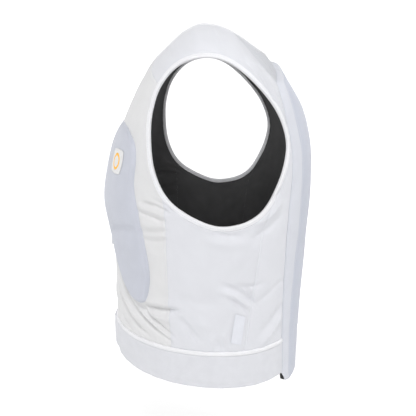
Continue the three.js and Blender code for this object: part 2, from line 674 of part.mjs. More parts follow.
// ---------- bindings ----------
const BINDING_SECTION = [
  { aside: 0.3, out: -2.9 },
  { aside: 3, out: -3.4 },
  { aside: BINDING_WIDTH - 0.1, out: -2.6 },
  { aside: BINDING_WIDTH - 0.1, out: 0.2 },
  { aside: 3, out: 1 },
  { aside: 0.3, out: 0.4 },
];
for (const { name, flip } of [leftHalf, rightHalf]) {
  add(`armhole_binding_${name}`, rolled(armholeEdge, BINDING_SECTION, flip), bindingWhite);
}
add('neck_binding', rolled(neckEdge, BINDING_SECTION), bindingWhite);

// ---------- centre front zip ----------
// Columns of a tape: its bead of teeth stands up beside the centre line.
const ZIP_COLUMNS = [
  { x: 0.4, out: 0.9 },
  { x: 2.6, out: 0.9 },
  { x: 3.1, out: -0.6 },
  { x: ZIP_HALF, out: -0.6 },
];
const zipColumns = ZIP_COLUMNS.map(({ x }) => besideCentre(x, frontEdge[0].level, PANEL_END, frontRows));
const zipGrid = seamed(frontEdge.map((_, i) => zipColumns.map((column) => column[i])));
for (const { name, flip } of [leftHalf, rightHalf]) {
  add(`zip_tape_${name}`, wall(zipGrid, (i, j) => ZIP_COLUMNS[j].out, -0.6 - ZIP_WALL, flip), tapeGrey);
}

// The slider stands on the bead, tilted with the cloth. Its arch holds the bar of the pull tab.
const SLIDER = { width: 8, neck: 5.6, height: 10, thickness: 2.2, edge: 0.4 };
const ARCH = { width: 2, top: 2.5, bottom: -4.5, rise: 4.2, wall: 1.4 };
const PIN_DROP = 1.8; // the bar of the pull hangs this far below the middle of the slider
const PIN_OUT = 1.35; // and this far in front of its face
const PIN_RADIUS = 0.7;
const sliderLevel = levelAtHeight(SLIDER_HEIGHT);
const sliderSeat = skin(at(0, sliderLevel), ZIP_COLUMNS[0].out + LAY);
const sliderFace = skin(at(0, sliderLevel), ZIP_COLUMNS[0].out + LAY + SLIDER.thickness);
const facing = outward(0, sliderLevel);
const tilt = Math.atan2(facing.z, -facing.y);

const wasm = await Module();
wasm.setup();
function solidOf(geometry) {
  const bare = geometry.clone();
  bare.deleteAttribute('normal');
  bare.deleteAttribute('uv');
  const merged = mergeVertices(bare);
  return new wasm.Manifold(new wasm.Mesh({
    numProp: 3,
    vertProperties: merged.attributes.position.array,
    triVerts: new Uint32Array(merged.index.array),
  }));
}
function geometryOf(solid) {
  const mesh = solid.getMesh();
  const geometry = new THREE.BufferGeometry();
  geometry.setAttribute('position', new THREE.BufferAttribute(mesh.vertProperties, 3));
  geometry.setIndex(new THREE.BufferAttribute(mesh.triVerts, 1));
  geometry.computeVertexNormals();
  return geometry;
}

// Outlines are drawn in the XZ plane and raised towards -Y.
function raised(outline, depth, bevel) {
  const geometry = new THREE.ExtrudeGeometry(outline, {
    depth: depth - 2 * bevel,
    bevelEnabled: bevel > 0,
    bevelSize: bevel,
    bevelThickness: bevel,
    bevelOffset: -bevel,
    bevelSegments: 1,
    curveSegments: 4,
  });
  return geometry.translate(0, 0, bevel).rotateX(Math.PI / 2);
}
function sliderBody() {
  const { width, neck, height, thickness, edge } = SLIDER;
  const outline = new THREE.Shape()
    .moveTo(-neck / 2, -height / 2)
    .lineTo(neck / 2, -height / 2)
    .lineTo(width / 2, height * 0.1)
    .quadraticCurveTo(width / 2, height / 2, 0, height / 2)
    .quadraticCurveTo(-width / 2, height / 2, -width / 2, height * 0.1);
  return raised(outline, thickness, edge);
}
function sliderArch() {
  const { width, top, bottom, rise, wall: bar } = ARCH;
  const sink = SLIDER.thickness / 2;
  const outline = new THREE.Shape()
    .moveTo(-sink, bottom)
    .lineTo(rise - bar, bottom)
    .lineTo(rise, bottom + bar)
    .lineTo(rise, top - bar)
    .lineTo(rise - bar, top)
    .lineTo(-sink, top)
    .lineTo(-sink, top - bar)
    .lineTo(rise - bar, top - bar)
    .lineTo(rise - bar, bottom + bar)
    .lineTo(-sink, bottom + bar);
  const geometry = new THREE.ExtrudeGeometry(outline, { depth: width, bevelEnabled: false });
  // The outline's x becomes the way out (-Y), its y the height (Z), and its depth runs across (X).
  const axes = new THREE.Matrix4().makeBasis(
    new THREE.Vector3(0, -1, 0),
    new THREE.Vector3(0, 0, 1),
    new THREE.Vector3(-1, 0, 0),
  );
  return geometry.translate(0, 0, -width / 2).applyMatrix4(axes).translate(0, -SLIDER.thickness, 0);
}
const slider = add('zip_slider', geometryOf(solidOf(sliderBody()).add(solidOf(sliderArch()))), zipPlastic);
slider.position.copy(sliderSeat);
slider.rotation.x = -tilt;

// The pull tab hangs from its bar. The window under the bar goes round the arch.
const PULL = {
  width: 6.8,
  length: 24,
  thickness: 1.4,
  bevel: 0.3,
  windowHalf: 1.6,
  windowEnd: 5.8,
  gripTop: 9,
};
function pullTab() {
  const { width, length, thickness, bevel, windowHalf, windowEnd, gripTop } = PULL;
  const half = width / 2;
  const outline = new THREE.Shape()
    .moveTo(-half * 0.8, PIN_RADIUS)
    .lineTo(-half * 0.95, -gripTop * 0.75)
    .lineTo(-half, -gripTop)
    .lineTo(-half, -length + half)
    .quadraticCurveTo(-half, -length, 0, -length)
    .quadraticCurveTo(half, -length, half, -length + half)
    .lineTo(half, -gripTop)
    .lineTo(half * 0.95, -gripTop * 0.75)
    .lineTo(half * 0.8, PIN_RADIUS);
  outline.holes.push(new THREE.Path()
    .moveTo(-windowHalf, -PIN_RADIUS)
    .lineTo(windowHalf, -PIN_RADIUS)
    .lineTo(windowHalf, -windowEnd)
    .lineTo(-windowHalf, -windowEnd));
  return raised(outline, thickness, bevel).translate(0, thickness / 2, 0);
}
const pull = add('zip_pull', pullTab(), zipPlastic);
pull.position.set(
  0,
  sliderFace.y - PIN_OUT * Math.cos(tilt) + PIN_DROP * Math.sin(tilt),
  sliderFace.z + PIN_OUT * Math.sin(tilt) - PIN_DROP * Math.cos(tilt),
);

// ---------- chest patch and care label, on the wearer's left only ----------
// A rounded square on the form, given by its corners from the upper front, turning downwards.
function rounded({ upperFront, lowerFront, lowerBack, upperBack }, steps, roundness) {
  return fractions(steps).map((down) => fractions(steps).map((across) => {
    const u = 2 * across - 1;
    const v = 2 * down - 1;
    const s = (1 + u * Math.sqrt(1 - roundness * v ** 2)) / 2;
    const t = (1 + v * Math.sqrt(1 - roundness * u ** 2)) / 2;
    return between(between(upperFront, upperBack, s), between(lowerFront, lowerBack, s), t);
  }));
}
const CHEST_PATCH = {
  upperFront: at(35.8, 3.66),
  upperBack: at(47.6, 3.76),
  lowerBack: at(44.4, 4.32),
  lowerFront: at(33, 4.22),
};
const PATCH_WALL = 0.9;
const PATCH_OUT = CHEST_LAY + CHEST_PAD + LAY;
add('chest_patch', wall(rounded(CHEST_PATCH, 6, 0.22), PATCH_OUT + PATCH_WALL, PATCH_OUT), patchWhite);

const CARE_LABEL = {
  upperFront: at(98.4, 7.13),
  upperBack: at(103.3, 7.2),
  lowerBack: at(100.6, 7.73),
  lowerFront: at(95.7, 7.67),
};
const LABEL_WALL = 0.5;
add('care_label', wall(rounded(CARE_LABEL, 5, 0.03), LAY + LABEL_WALL, LAY), bindingWhite);

export default vest;
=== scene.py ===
# Looks of an equestrian body protector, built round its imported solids.
# Metres in Blender; the shape tables below are in millimetres, in the part's own frame.
import math

import bpy
import numpy as np
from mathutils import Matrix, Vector


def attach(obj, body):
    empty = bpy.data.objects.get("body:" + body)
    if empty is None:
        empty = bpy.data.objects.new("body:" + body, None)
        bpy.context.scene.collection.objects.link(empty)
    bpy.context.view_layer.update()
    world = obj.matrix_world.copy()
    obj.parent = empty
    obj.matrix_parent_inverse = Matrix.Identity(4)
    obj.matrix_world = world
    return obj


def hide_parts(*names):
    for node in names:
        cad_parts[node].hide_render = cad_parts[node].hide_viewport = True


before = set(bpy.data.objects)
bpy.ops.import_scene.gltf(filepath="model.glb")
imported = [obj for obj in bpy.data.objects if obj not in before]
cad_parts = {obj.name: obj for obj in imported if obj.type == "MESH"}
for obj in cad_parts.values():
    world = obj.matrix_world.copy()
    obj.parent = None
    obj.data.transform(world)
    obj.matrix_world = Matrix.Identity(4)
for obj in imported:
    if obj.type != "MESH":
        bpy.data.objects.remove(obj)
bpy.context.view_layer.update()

BODY = "garment"
LEFT, RIGHT = 1, -1
SIDES = ((LEFT, "left"), (RIGHT, "right"))

# ---------- sizes shared with the solids, in mm ----------
WALL = 2.5
SEAM = 0.02
BINDING_WIDTH = 6
ZIP_HALF = 9
PIPING_LEVEL = 7.93
PIPING_HALF = 0.05
HEM_LEVEL = 9
BELT_WALL = 3
BELT_LAP_ANGLE = 22
CHEST_PAD = 4.2
CHEST_EDGE = 1.2
CHEST_LAY = 0.7
BACK_PAD = 6
BACK_INSIDE = 3.4
COVER = 1.8
LAY = 0.4
PANEL_END = PIPING_LEVEL - PIPING_HALF
BELT_TOP = PIPING_LEVEL + PIPING_HALF
FINE = 5  # steps here for each step of the solids' outlines

# ---------- form of the garment ----------
# Columns: frontY, frontZ, sideX, sideY, sideZ, backY, backZ, squareF, squareB, rise
LEVELS = np.array([
    (-66, -38, 70, -3, 0, 75, -34, 2, 2, 3),
    (-78, -54, 112, -2, -12, 86.8, -49.5, 2, 2.1, 2.6),
    (-94, -84, 147, 0, -40, 101.5, -76.5, 2.1, 2.3, 2.2),
    (-112, -124, 156, 2, -90, 119.5, -107, 2.2, 2.4, 2),
    (-128, -172, 157, 4, -154, 131, -154, 2.2, 2.5, 2),
    (-136, -220, 155, 6, -214, 132, -210, 2.2, 2.5, 2),
    (-130, -270, 152, 9, -270, 129, -270, 2.2, 2.4, 2),
    (-128, -335, 148, 12, -335, 126, -335, 2.1, 2.3, 2),
    (-130, -402, 145, 15, -402, 122.5, -402, 1.95, 2.3, 2),
    (-129.5, -444, 145, 16, -444, 121.5, -444, 1.9, 2.3, 2),
    (-129, -486, 145, 17, -486, 120.5, -486, 1.9, 2.3, 2),
], float)
FRONT_Y, FRONT_Z, SIDE_X, SIDE_Y, SIDE_Z, BACK_Y, BACK_Z, SQUARE_F, SQUARE_B, RISE = range(10)


def rows_at(rows, position):
    """A cubic through the rows of a table, read at fractional row numbers."""
    rows = np.asarray(rows, float)
    position = np.asarray(position, float)
    last = len(rows) - 1
    slope = np.empty_like(rows)
    slope[0], slope[last] = rows[1] - rows[0], rows[last] - rows[last - 1]
    slope[1:last] = (rows[2:] - rows[:-2]) / 2
    first = np.clip(np.floor(position).astype(int), 0, last - 1)
    t = (position - first)[..., None]
    t2, t3 = t * t, t * t * t
    return ((2 * t3 - 3 * t2 + 1) * rows[first] + (t3 - 2 * t2 + t) * slope[first]
            + (3 * t2 - 2 * t3) * rows[first + 1] + (t3 - t2) * slope[first + 1])


def form(angle, level):
    """Points of the smooth outer form; angle in degrees from the centre front past the left side."""
    angle, level = np.broadcast_arrays(np.asarray(angle, float), np.asarray(level, float))
    row = rows_at(LEVELS, level)
    turn = np.radians(angle)
    across, along = np.sin(turn), np.cos(turn)
    front = along >= 0
    depth = np.abs(np.where(front, row[..., FRONT_Y], row[..., BACK_Y]) - row[..., SIDE_Y])
    power = np.where(front, row[..., SQUARE_F], row[..., SQUARE_B])
    centre = np.where(front, row[..., FRONT_Z], row[..., BACK_Z])
    reach = (np.abs(across / row[..., SIDE_X]) ** power + np.abs(along / depth) ** power) ** (-1 / power)
    climb = np.abs(reach * across / row[..., SIDE_X]) ** row[..., RISE]
    return np.stack([reach * across, row[..., SIDE_Y] - reach * along,
                     centre + (row[..., SIDE_Z] - centre) * climb], -1)


ANGLE_STEP, LEVEL_STEP = 0.5, 0.02


def slopes(angle, level):
    round_ = (form(angle + ANGLE_STEP, level) - form(angle - ANGLE_STEP, level)) / (2 * ANGLE_STEP)
    down = (form(angle, level + LEVEL_STEP) - form(angle, level - LEVEL_STEP)) / (2 * LEVEL_STEP)
    return round_, down


def unit(v):
    return v / np.maximum(np.linalg.norm(v, axis=-1, keepdims=True), 1e-9)


def outward(places):
    round_, down = slopes(places[..., 0], places[..., 1])
    return unit(np.cross(down, round_))


def on_form(places):
    return form(places[..., 0], places[..., 1])


def walk_along(points):
    """Distance from the first point of a line to each of its points."""
    return np.concatenate([[0], np.cumsum(np.linalg.norm(np.diff(points, axis=0), axis=1))])


# ---------- lines on the form: arrays of (angle, level) ----------
def line(rows, steps):
    rows = np.asarray(rows, float)
    return rows_at(rows, np.linspace(0, len(rows) - 1, steps * FINE + 1))


def closed_line(rows, steps):
    rows = np.asarray(rows, float)
    wrapped = np.vstack([rows[-1:], rows, rows[:2]])
    count = len(rows) * steps * FINE
    position = 1 + (np.arange(count + 1) % count) / (steps * FINE)
    return rows_at(wrapped, position)


def chain(*parts):
    return np.vstack([parts[0], *[part[1:] for part in parts[1:]]])


def mirrored(path):
    return np.stack([360 - path[..., 0], path[..., 1]], -1)


def straight(start, end, steps):
    t = np.linspace(0, 1, steps * FINE + 1)[:, None]
    return (1 - t) * np.asarray(start, float) + t * np.asarray(end, float)


def shifted(path, distance):
    """The line moved over the form, to the left of its travel as seen from outside."""
    points = on_form(path)
    closed = np.linalg.norm(points[0] - points[-1]) < 1e-6
    before, after = np.roll(points, 1, 0), np.roll(points, -1, 0)
    if closed:
        before[0], after[-1] = points[-2], points[1]
    else:
        before[0], after[-1] = points[0], points[-1]
    round_, down = slopes(path[:, 0], path[:, 1])
    normal = unit(np.cross(down, round_))
    aside = np.cross(normal, unit(after - before)) * np.reshape(distance, (-1, 1))
    rr, dd, rd = (np.sum(a * b, -1) for a, b in ((round_, round_), (down, down), (round_, down)))
    ra, da = np.sum(round_ * aside, -1), np.sum(down * aside, -1)
    area = rr * dd - rd ** 2
    return path + np.stack([(ra * dd - da * rd) / area, (da * rr - ra * rd) / area], -1)


def angle_across(x, level):
    angle = np.zeros_like(np.asarray(level, float))
    for _ in range(6):
        here, beyond = form(angle, level)[..., 0], form(angle + ANGLE_STEP, level)[..., 0]
        angle = angle + (x - here) * ANGLE_STEP / (beyond - here)
    return angle


def beside_centre(x, from_level, to_level, steps):
    level = np.linspace(from_level, to_level, steps * FINE + 1)
    return np.stack([angle_across(x, level), level], -1)


ARMHOLE = [
    (90.7, 2.0), (101, 2.16), (112.1, 2.59), (120.7, 3.04), (125.3, 3.45), (126.3, 3.8), (123.5, 4.22),
    (119.2, 4.6), (114.7, 4.91), (109.5, 5.13), (101.4, 5.29), (90.5, 5.31), (78.1, 5.04), (69.6, 4.69),
    (64.4, 4.14), (62.8, 3.5), (63.7, 2.97), (67.7, 2.48), (76.9, 2.1),
]
BEHIND_ROW, REAR_SEAM_ROW, FRONT_SEAM_ROW, YOKE_ROW, ARMHOLE_STEPS = 4, 8, 13, 17, 2
armhole_edge = closed_line(ARMHOLE, ARMHOLE_STEPS)
armhole_cut = shifted(armhole_edge, BINDING_WIDTH)


def armhole_part(from_row, to_row):
    stride = ARMHOLE_STEPS * FINE
    return armhole_cut[from_row * stride:to_row * stride + 1]


NECK_GAP_ANGLE, NECK_YOKE_FRONT, NECK_YOKE_BACK = 0.7, 30, 117
NECK_FRONT_STEPS, NECK_YOKE_STEPS, NECK_BACK_STEPS = 4, 6, 12
zip_neck = float(angle_across(ZIP_HALF, 0.0))
left_neck = chain(straight((NECK_YOKE_BACK, 0), (NECK_YOKE_FRONT, 0), NECK_YOKE_STEPS),
                  straight((NECK_YOKE_FRONT, 0), (zip_neck, 0), NECK_FRONT_STEPS))
neck_edge = np.vstack([
    [(360 - NECK_GAP_ANGLE, 0)],
    mirrored(left_neck[::-1]),
    straight((360 - NECK_YOKE_BACK, 0), (NECK_YOKE_BACK, 0), NECK_BACK_STEPS)[1:],
    left_neck[1:],
    [(NECK_GAP_ANGLE, 0)],
])
neck_cut = shifted(neck_edge, BINDING_WIDTH)
right_neck = 1 + (NECK_FRONT_STEPS + NECK_YOKE_STEPS) * FINE
back_neck_cut = neck_cut[right_neck:right_neck + NECK_BACK_STEPS * FINE + 1]
yoke_start = right_neck + NECK_BACK_STEPS * FINE
yoke_neck_cut = neck_cut[yoke_start:yoke_start + NECK_YOKE_STEPS * FINE + 1]
front_start = yoke_start + NECK_YOKE_STEPS * FINE
front_neck_cut = neck_cut[front_start:front_start + NECK_FRONT_STEPS * FINE + 1]

YOKE_BACK_SEAM = [(112.6, 0.68), (113.2, 1.22), (116.2, 1.79)]
FRONT_SEAM = [(68.5, 5.25), (67.5, 6), (66.3, 6.8), (65.4, 7.5)]
REAR_SEAM = [(112.4, 5.45), (110.2, 6.05), (107.8, 6.7), (105, 7.25)]
FRONT_SEAM_END, REAR_SEAM_END = 65.2, 102.2
PAD_EDGE = [(126, 2.32), (126.2, 2.8), (127.6, 3.3), (129.8, 3.9), (129.6, 4.5), (128.4, 5.1),
            (127.8, 5.7), (127.9, 6.4), (128, 7.1), (128.1, 7.88)]
PAD_TAIL = [(128.2, BELT_TOP), (128.4, 8.3), (128.6, 8.65), (128.8, HEM_LEVEL), (130.4, 9.3)]
SEAM_STEPS, YOKE_STEPS, YOKE_BACK_STEPS = 13, 6, 4
yoke_front_seam = line([front_neck_cut[0], armhole_part(YOKE_ROW, YOKE_ROW)[0]], YOKE_STEPS)
yoke_back_seam = line([yoke_neck_cut[0], *YOKE_BACK_SEAM, PAD_EDGE[0]], YOKE_BACK_STEPS)
behind_seam = line([PAD_EDGE[2], armhole_part(BEHIND_ROW, BEHIND_ROW)[0]], YOKE_STEPS)
front_seam = line([armhole_part(FRONT_SEAM_ROW, FRONT_SEAM_ROW)[0], *FRONT_SEAM,
                   (FRONT_SEAM_END, PANEL_END)], SEAM_STEPS)
rear_seam = line([armhole_part(REAR_SEAM_ROW, REAR_SEAM_ROW)[0], *REAR_SEAM,
                  (REAR_SEAM_END, PANEL_END)], SEAM_STEPS)
pad_edge_upper = line(PAD_EDGE[:3], 2)
pad_edge_lower = line(PAD_EDGE[2:], (REAR_SEAM_ROW - BEHIND_ROW) * ARMHOLE_STEPS + SEAM_STEPS)

# ---------- folds ----------
# Columns: path of (angle, level), depth in mm (above 0 is a ridge), half-width in mm.
FOLD_GAIN = 1.6
FOLDS = [
    # below the chest pads, fanning from their tips to the waistband
    ([(50.5, 7.17), (61, 7.15), (72, 7.12)], -3.0, 3.2),
    ([(48, 7.05), (60, 7.03), (70, 7.0)], 1.5, 5),
    ([(53, 7.26), (60, 7.3), (68, 7.34)], 1.5, 4.5),
    ([(47.5, 7.17), (54, 7.33), (61, 7.5), (66.5, 7.63)], -2.6, 2.8),
    ([(33.5, 7.15), (47, 7.36), (57.5, 7.56), (65, 7.75)], -2.2, 2.8),
    ([(40, 7.14), (50, 7.35), (59, 7.53), (65, 7.66)], 1.5, 3.6),
    ([(25, 6.72), (33.5, 7.0), (43.5, 7.25), (53.5, 7.5), (60, 7.7)], -1.8, 2.8),
    ([(18.5, 7.02), (27, 7.32), (38.5, 7.56), (51.5, 7.76)], -2.0, 3.2),
    ([(22, 6.9), (30, 7.18), (41, 7.44), (52, 7.64)], 1.5, 4),
    ([(15.5, 7.42), (28, 7.7), (38, 7.84)], -1.3, 4),
    ([(11, 7.1), (18, 7.5), (27, 7.78)], 1.2, 5),
    # gathers between the armhole's lower front and the chest pads
    ([(55.5, 4.87), (64.5, 4.92), (72, 5.07)], -1.5, 2.4),
    ([(55, 4.97), (63, 5.04), (70, 5.16)], 1.2, 2.8),
    ([(54, 5.08), (61.5, 5.17), (68.5, 5.26)], -1.5, 2.4),
    ([(63, 4.78), (69.5, 4.88), (74, 5.08)], -0.9, 2.4),
    ([(56, 5.4), (63, 5.38), (69, 5.34)], 0.9, 3.2),
    ([(56.5, 5.55), (63, 5.52), (69.5, 5.47)], -1.1, 2.6),
    ([(56, 5.65), (63, 5.62), (69, 5.57)], 0.8, 2.6),
    ([(55.5, 5.76), (64, 5.73), (69, 5.67)], -1.0, 2.6),
    ([(58, 6.06), (68, 6.02)], 0.5, 4),
    # trough across the chest pads and the swell below it
    ([(27, 5.82), (42.5, 5.62), (51, 5.56), (58, 5.6)], -1.5, 6),
    ([(30, 6.1), (44, 5.98), (55, 5.92)], 0.8, 8),
    # creases above the care label
    ([(92.5, 6.55), (101, 6.7), (107, 6.95)], -2.0, 3.2),
    ([(91, 6.67), (99, 6.81), (105, 7.04)], 1.5, 3.8),
    ([(95.5, 6.8), (101, 6.97), (104.5, 7.12)], -1.4, 3),
    ([(99, 6.58), (106, 6.63), (113, 6.6)], -1.3, 2.6),
    ([(103.5, 6.62), (107, 6.9), (109.5, 7.07)], -1.4, 2.8),
    ([(109, 6.97), (116, 6.84), (122.5, 6.7), (127, 6.66)], -1.0, 4),
    ([(110, 7.62), (118, 7.42), (126.5, 7.15)], -1.4, 5),
    ([(112, 7.8), (119, 7.62), (127, 7.36)], 1.4, 4),
    # slanting folds above the waistband at the side
    ([(70, 6.82), (80, 6.92), (90, 6.86)], -1.2, 8),
    ([(70, 7.24), (75, 7.42), (80, 7.66)], -1.6, 5),
    ([(79, 7.2), (84, 7.42), (89, 7.7)], 1.4, 6),
    ([(84, 7.4), (88.5, 7.62), (92, 7.86)], -1.5, 5),
    ([(93, 7.5), (96, 7.84)], 0.9, 5),
    # round the armhole's low and rear edge
    ([(90.5, 5.46), (95, 5.53), (101.5, 5.55)], -1.1, 3.2),
    ([(86, 5.62), (95, 5.74), (104, 5.72)], 1.0, 6),
    ([(111.5, 5.05), (115.5, 4.87), (121.5, 4.65)], -1.3, 3),
    ([(110, 5.32), (116, 5.15), (123.5, 4.87)], 1.2, 4),
    ([(108, 5.6), (115, 5.45), (123, 5.2)], -1.1, 4.5),
    ([(98, 6.1), (108, 5.75)], 1.0, 12),
    # shoulder
    ([(75, 1.9), (68, 1.3), (60, 0.8)], -0.8, 5),
    ([(86, 1.75), (84, 1.1), (80, 0.5)], 0.6, 5),
    ([(98, 1.9), (99, 1.3), (98, 0.6)], -0.8, 4.5),
    ([(122, 3.1), (119, 2.68), (114, 2.3), (106, 1.95)], -1.0, 3),
    ([(124, 3.0), (121.5, 2.6), (117, 2.2), (109, 1.8)], 0.8, 3),
    ([(66, 3.0), (58, 2.7)], -0.6, 4),
    ([(62, 4.6), (57, 4.9)], -0.7, 3.5),
]


def smooth(t, low, high):
    t = np.clip((t - low) / (high - low), 0, 1)
    return t * t * (3 - 2 * t)


def fold_height(places, side):
    height = np.zeros(places.shape[:-1])
    around = np.where(places[..., 0] > 180, 360 - places[..., 0], places[..., 0])
    for number, (path, depth, width) in enumerate(FOLDS):
        path = np.array(path, float)
        if side == RIGHT:  # uneven: the other side has the same folds, a little moved and weaker
            path = path + (1.2 * math.sin(2.1 * number), 0.05 * math.cos(1.7 * number))
            depth = depth * (0.78 + 0.2 * math.sin(1.3 * number))
        round_, down = slopes(*path.mean(0))
        scale = np.array([np.linalg.norm(round_), np.linalg.norm(down)])
        knots = path * scale
        here = np.stack([around, places[..., 1]], -1) * scale
        spans = np.linalg.norm(np.diff(knots, axis=0), axis=1)
        total, walked = spans.sum(), 0.0
        near, along = np.full(height.shape, 1e9), np.zeros(height.shape)
        for start, end, span in zip(knots[:-1], knots[1:], spans):
            t = ((here - start) @ (end - start)) / span ** 2
            first, final = walked == 0, walked + span >= total - 1e-6
            t = np.clip(t, -9 if first else 0, 9 if final else 1)
            gap = np.linalg.norm(here - start - t[..., None] * (end - start), axis=-1)
            closer = gap < near
            near = np.where(closer, gap, near)
            along = np.where(closer, (walked + t * span) / total, along)
            walked += span
        ends = smooth(along, -0.15, 0.25) * (1 - smooth(along, 0.75, 1.15))
        height += FOLD_GAIN * depth * ends * np.exp(-(near / width) ** 2)
    return height


def undulation(places, side):
    """Slow, slight waves of cloth stretched over a body, in mm."""
    a, l = places[..., 0], places[..., 1]
    phase = 0.0 if side == LEFT else 2.3
    return (0.28 * np.sin(0.19 * a + 1.3 * l + phase) * np.sin(2.7 * l - 0.1 * a + 2 * phase)
            + 0.16 * np.sin(0.43 * a - 3.3 * l + 1.1 + phase) * np.sin(1.9 * l + 0.07 * a))


edge_points = on_form(armhole_edge)
edge_walk = walk_along(edge_points)
PUCKER_HEIGHT, PUCKER_PITCH, PUCKER_REACH = 0.26, 8.7, 6  # mm, beside the armhole binding
GATHER_HEIGHT, GATHER_REACH = 0.42, 16  # mm, above the waistband
MM_A_LEVEL = 66  # height of one level there
BLOCK = 4000  # places measured at a time


def puckers(places, side):
    """Small gathers where the armhole binding draws the cloth in, and above the waistband."""
    flat_places = places.reshape(-1, 2)
    points = on_form(flat_places)
    height = np.zeros(len(flat_places))
    for start in range(0, len(points), BLOCK):
        block = points[start:start + BLOCK]
        gaps = np.linalg.norm(block[:, None] - edge_points[None], axis=-1)
        nearest = gaps.argmin(1)
        gap = gaps[np.arange(len(block)), nearest] - BINDING_WIDTH
        walk = edge_walk[nearest] + (0 if side == LEFT else 17)
        wave = np.sin(2 * np.pi * walk / PUCKER_PITCH + 1.9 * np.sin(2 * np.pi * walk / 67))
        uneven = 0.6 + 0.4 * np.sin(2 * np.pi * walk / 141 + 0.8)
        near = np.exp(-np.maximum(gap, 0) / PUCKER_REACH)
        height[start:start + BLOCK] = PUCKER_HEIGHT * wave * uneven * near
    a, l = flat_places[:, 0], flat_places[:, 1]
    above = np.maximum(PANEL_END - l, 0) * MM_A_LEVEL
    wave = np.sin(a * 1.02 + 1.4 * np.sin(0.21 * a) + (0.6 if side == LEFT else 2.0))
    uneven = 0.55 + 0.45 * np.sin(0.13 * a + 1.0)
    height += GATHER_HEIGHT * wave * uneven * np.exp(-above / GATHER_REACH) * (l < PANEL_END + 0.01)
    return height.reshape(places.shape[:-1])


def relief(places, side):
    return fold_height(places, side) + undulation(places, side) + puckers(places, side)


def skin(places, out, side):
    """Points "out" mm outside the form, mirrored for the wearer's right side."""
    points = on_form(places) + outward(places) * np.asarray(out)[..., None]
    return points * (side, 1, 1)


# ---------- grids ----------
EDGE_STEPS = (0.5, 1.1, 1.9, 3.0)  # mm from an edge: closer rows there carry the seam's roll


def spread(length, pitch, edges=EDGE_STEPS):
    start = 4.5 if edges else 0
    middle = np.linspace(start, length - start, max(int(round((length - 2 * start) / pitch)), 2) + 1)
    places = [0, *edges, *middle, *[length - e for e in reversed(edges)], length]
    return np.unique(np.round(places, 6)) / length


def sampled(path, fractions):
    position = fractions * (len(path) - 1)
    index = np.arange(len(path))
    return np.stack([np.interp(position, index, path[:, k]) for k in (0, 1)], -1)


def length_of(path):
    return float(np.linalg.norm(np.diff(on_form(path), axis=0), axis=1).sum())


def patch(top, bottom, left, right, pitch=2.4, edges=EDGE_STEPS):
    """Places spread between four lines, rows from top to bottom, with closer ones at the edges."""
    down = spread(max(length_of(left), length_of(right)), pitch, edges)
    across = spread(max(length_of(top), length_of(bottom)), pitch, edges)
    top, bottom = sampled(top, across)[None], sampled(bottom, across)[None]
    left, right = sampled(left, down)[:, None], sampled(right, down)[:, None]
    u, v = across[None, :, None], down[:, None, None]
    grid = ((1 - u) * left + u * right + (1 - v) * top + v * bottom
            - (1 - v) * ((1 - u) * top[:, :1] + u * top[:, -1:])
            - v * ((1 - u) * bottom[:, :1] + u * bottom[:, -1:]))
    return drawn_in(grid, SEAM)


def drawn_in(grid, clearance):
    points = on_form(grid)
    moved = grid.copy()
    for edge, inner in (((0, slice(None)), (1, slice(None))), ((-1, slice(None)), (-2, slice(None))),
                        ((slice(None), 0), (slice(None), 1)), ((slice(None), -1), (slice(None), -2))):
        gap = np.linalg.norm(points[edge] - points[inner], axis=-1)
        share = np.minimum(clearance / np.maximum(gap, 1e-6), 0.45)[:, None]
        moved[edge] = moved[edge] + (moved[inner] - moved[edge]) * share
    return moved


def walked(points, axis):
    steps = np.linalg.norm(np.diff(points, axis=axis), axis=-1)
    pad = [(0, 0), (0, 0)]
    pad[axis] = (1, 0)
    return np.pad(np.cumsum(steps, axis=axis), pad)


def edge_gaps(grid):
    """Distance in mm of every place from the left, right, top and bottom edges of its grid."""
    points = on_form(grid)
    u, v = walked(points, 1), walked(points, 0)
    return u, u[:, -1:] - u, v, v[-1:] - v


WELT_HEIGHT, WELT_FROM_EDGE, WELT_WIDTH = 0.12, 3.2, 1.6  # mm: the allowance felt beside a seam


def rolled_in(grid, edges="lrtb", depth=0.6, reach=1.1):
    """The dip of a panel's edge where it turns in to its seam."""
    dip = np.zeros(grid.shape[:2])
    for name, gap in zip("lrtb", edge_gaps(grid)):
        if name in edges:
            welt = WELT_HEIGHT * np.exp(-((gap - WELT_FROM_EDGE) / WELT_WIDTH) ** 2)
            dip = np.minimum(dip, -depth * np.exp(-(gap / reach) ** 2) + welt)
    return dip


# ---------- meshes ----------
def mesh_object(name, points, faces, material_index, materials, thread=None, mirror=False, sharp=45):
    mesh = bpy.data.meshes.new(name)
    faces = [tuple(reversed(face)) for face in faces] if mirror else faces
    mesh.from_pydata((np.asarray(points) / 1000).tolist(), [], faces)
    for material in materials:
        mesh.materials.append(material)
    mesh.polygons.foreach_set("material_index", np.asarray(material_index, np.int32))
    if thread is not None:
        layer = mesh.attributes.new("thread", "FLOAT_VECTOR", "POINT")
        layer.data.foreach_set("vector", np.asarray(thread, np.float32).ravel())
    mesh.shade_smooth()
    mesh.set_sharp_from_angle(angle=math.radians(sharp))
    mesh.update()
    obj = bpy.data.objects.new(name, mesh)
    bpy.context.scene.collection.objects.link(obj)
    return obj


def placed(obj, slot_name, *nodes):
    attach(obj, BODY)
    if nodes:
        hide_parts(*nodes)
    return obj


def quads_of(rows, columns, offset=0, flip=False):
    index = offset + np.arange(rows * columns).reshape(rows, columns)
    a, b, c, d = index[:-1, :-1], index[1:, :-1], index[1:, 1:], index[:-1, 1:]
    order = (a, d, c, b) if flip else (a, b, c, d)
    return np.stack([k.ravel() for k in order], -1).tolist()


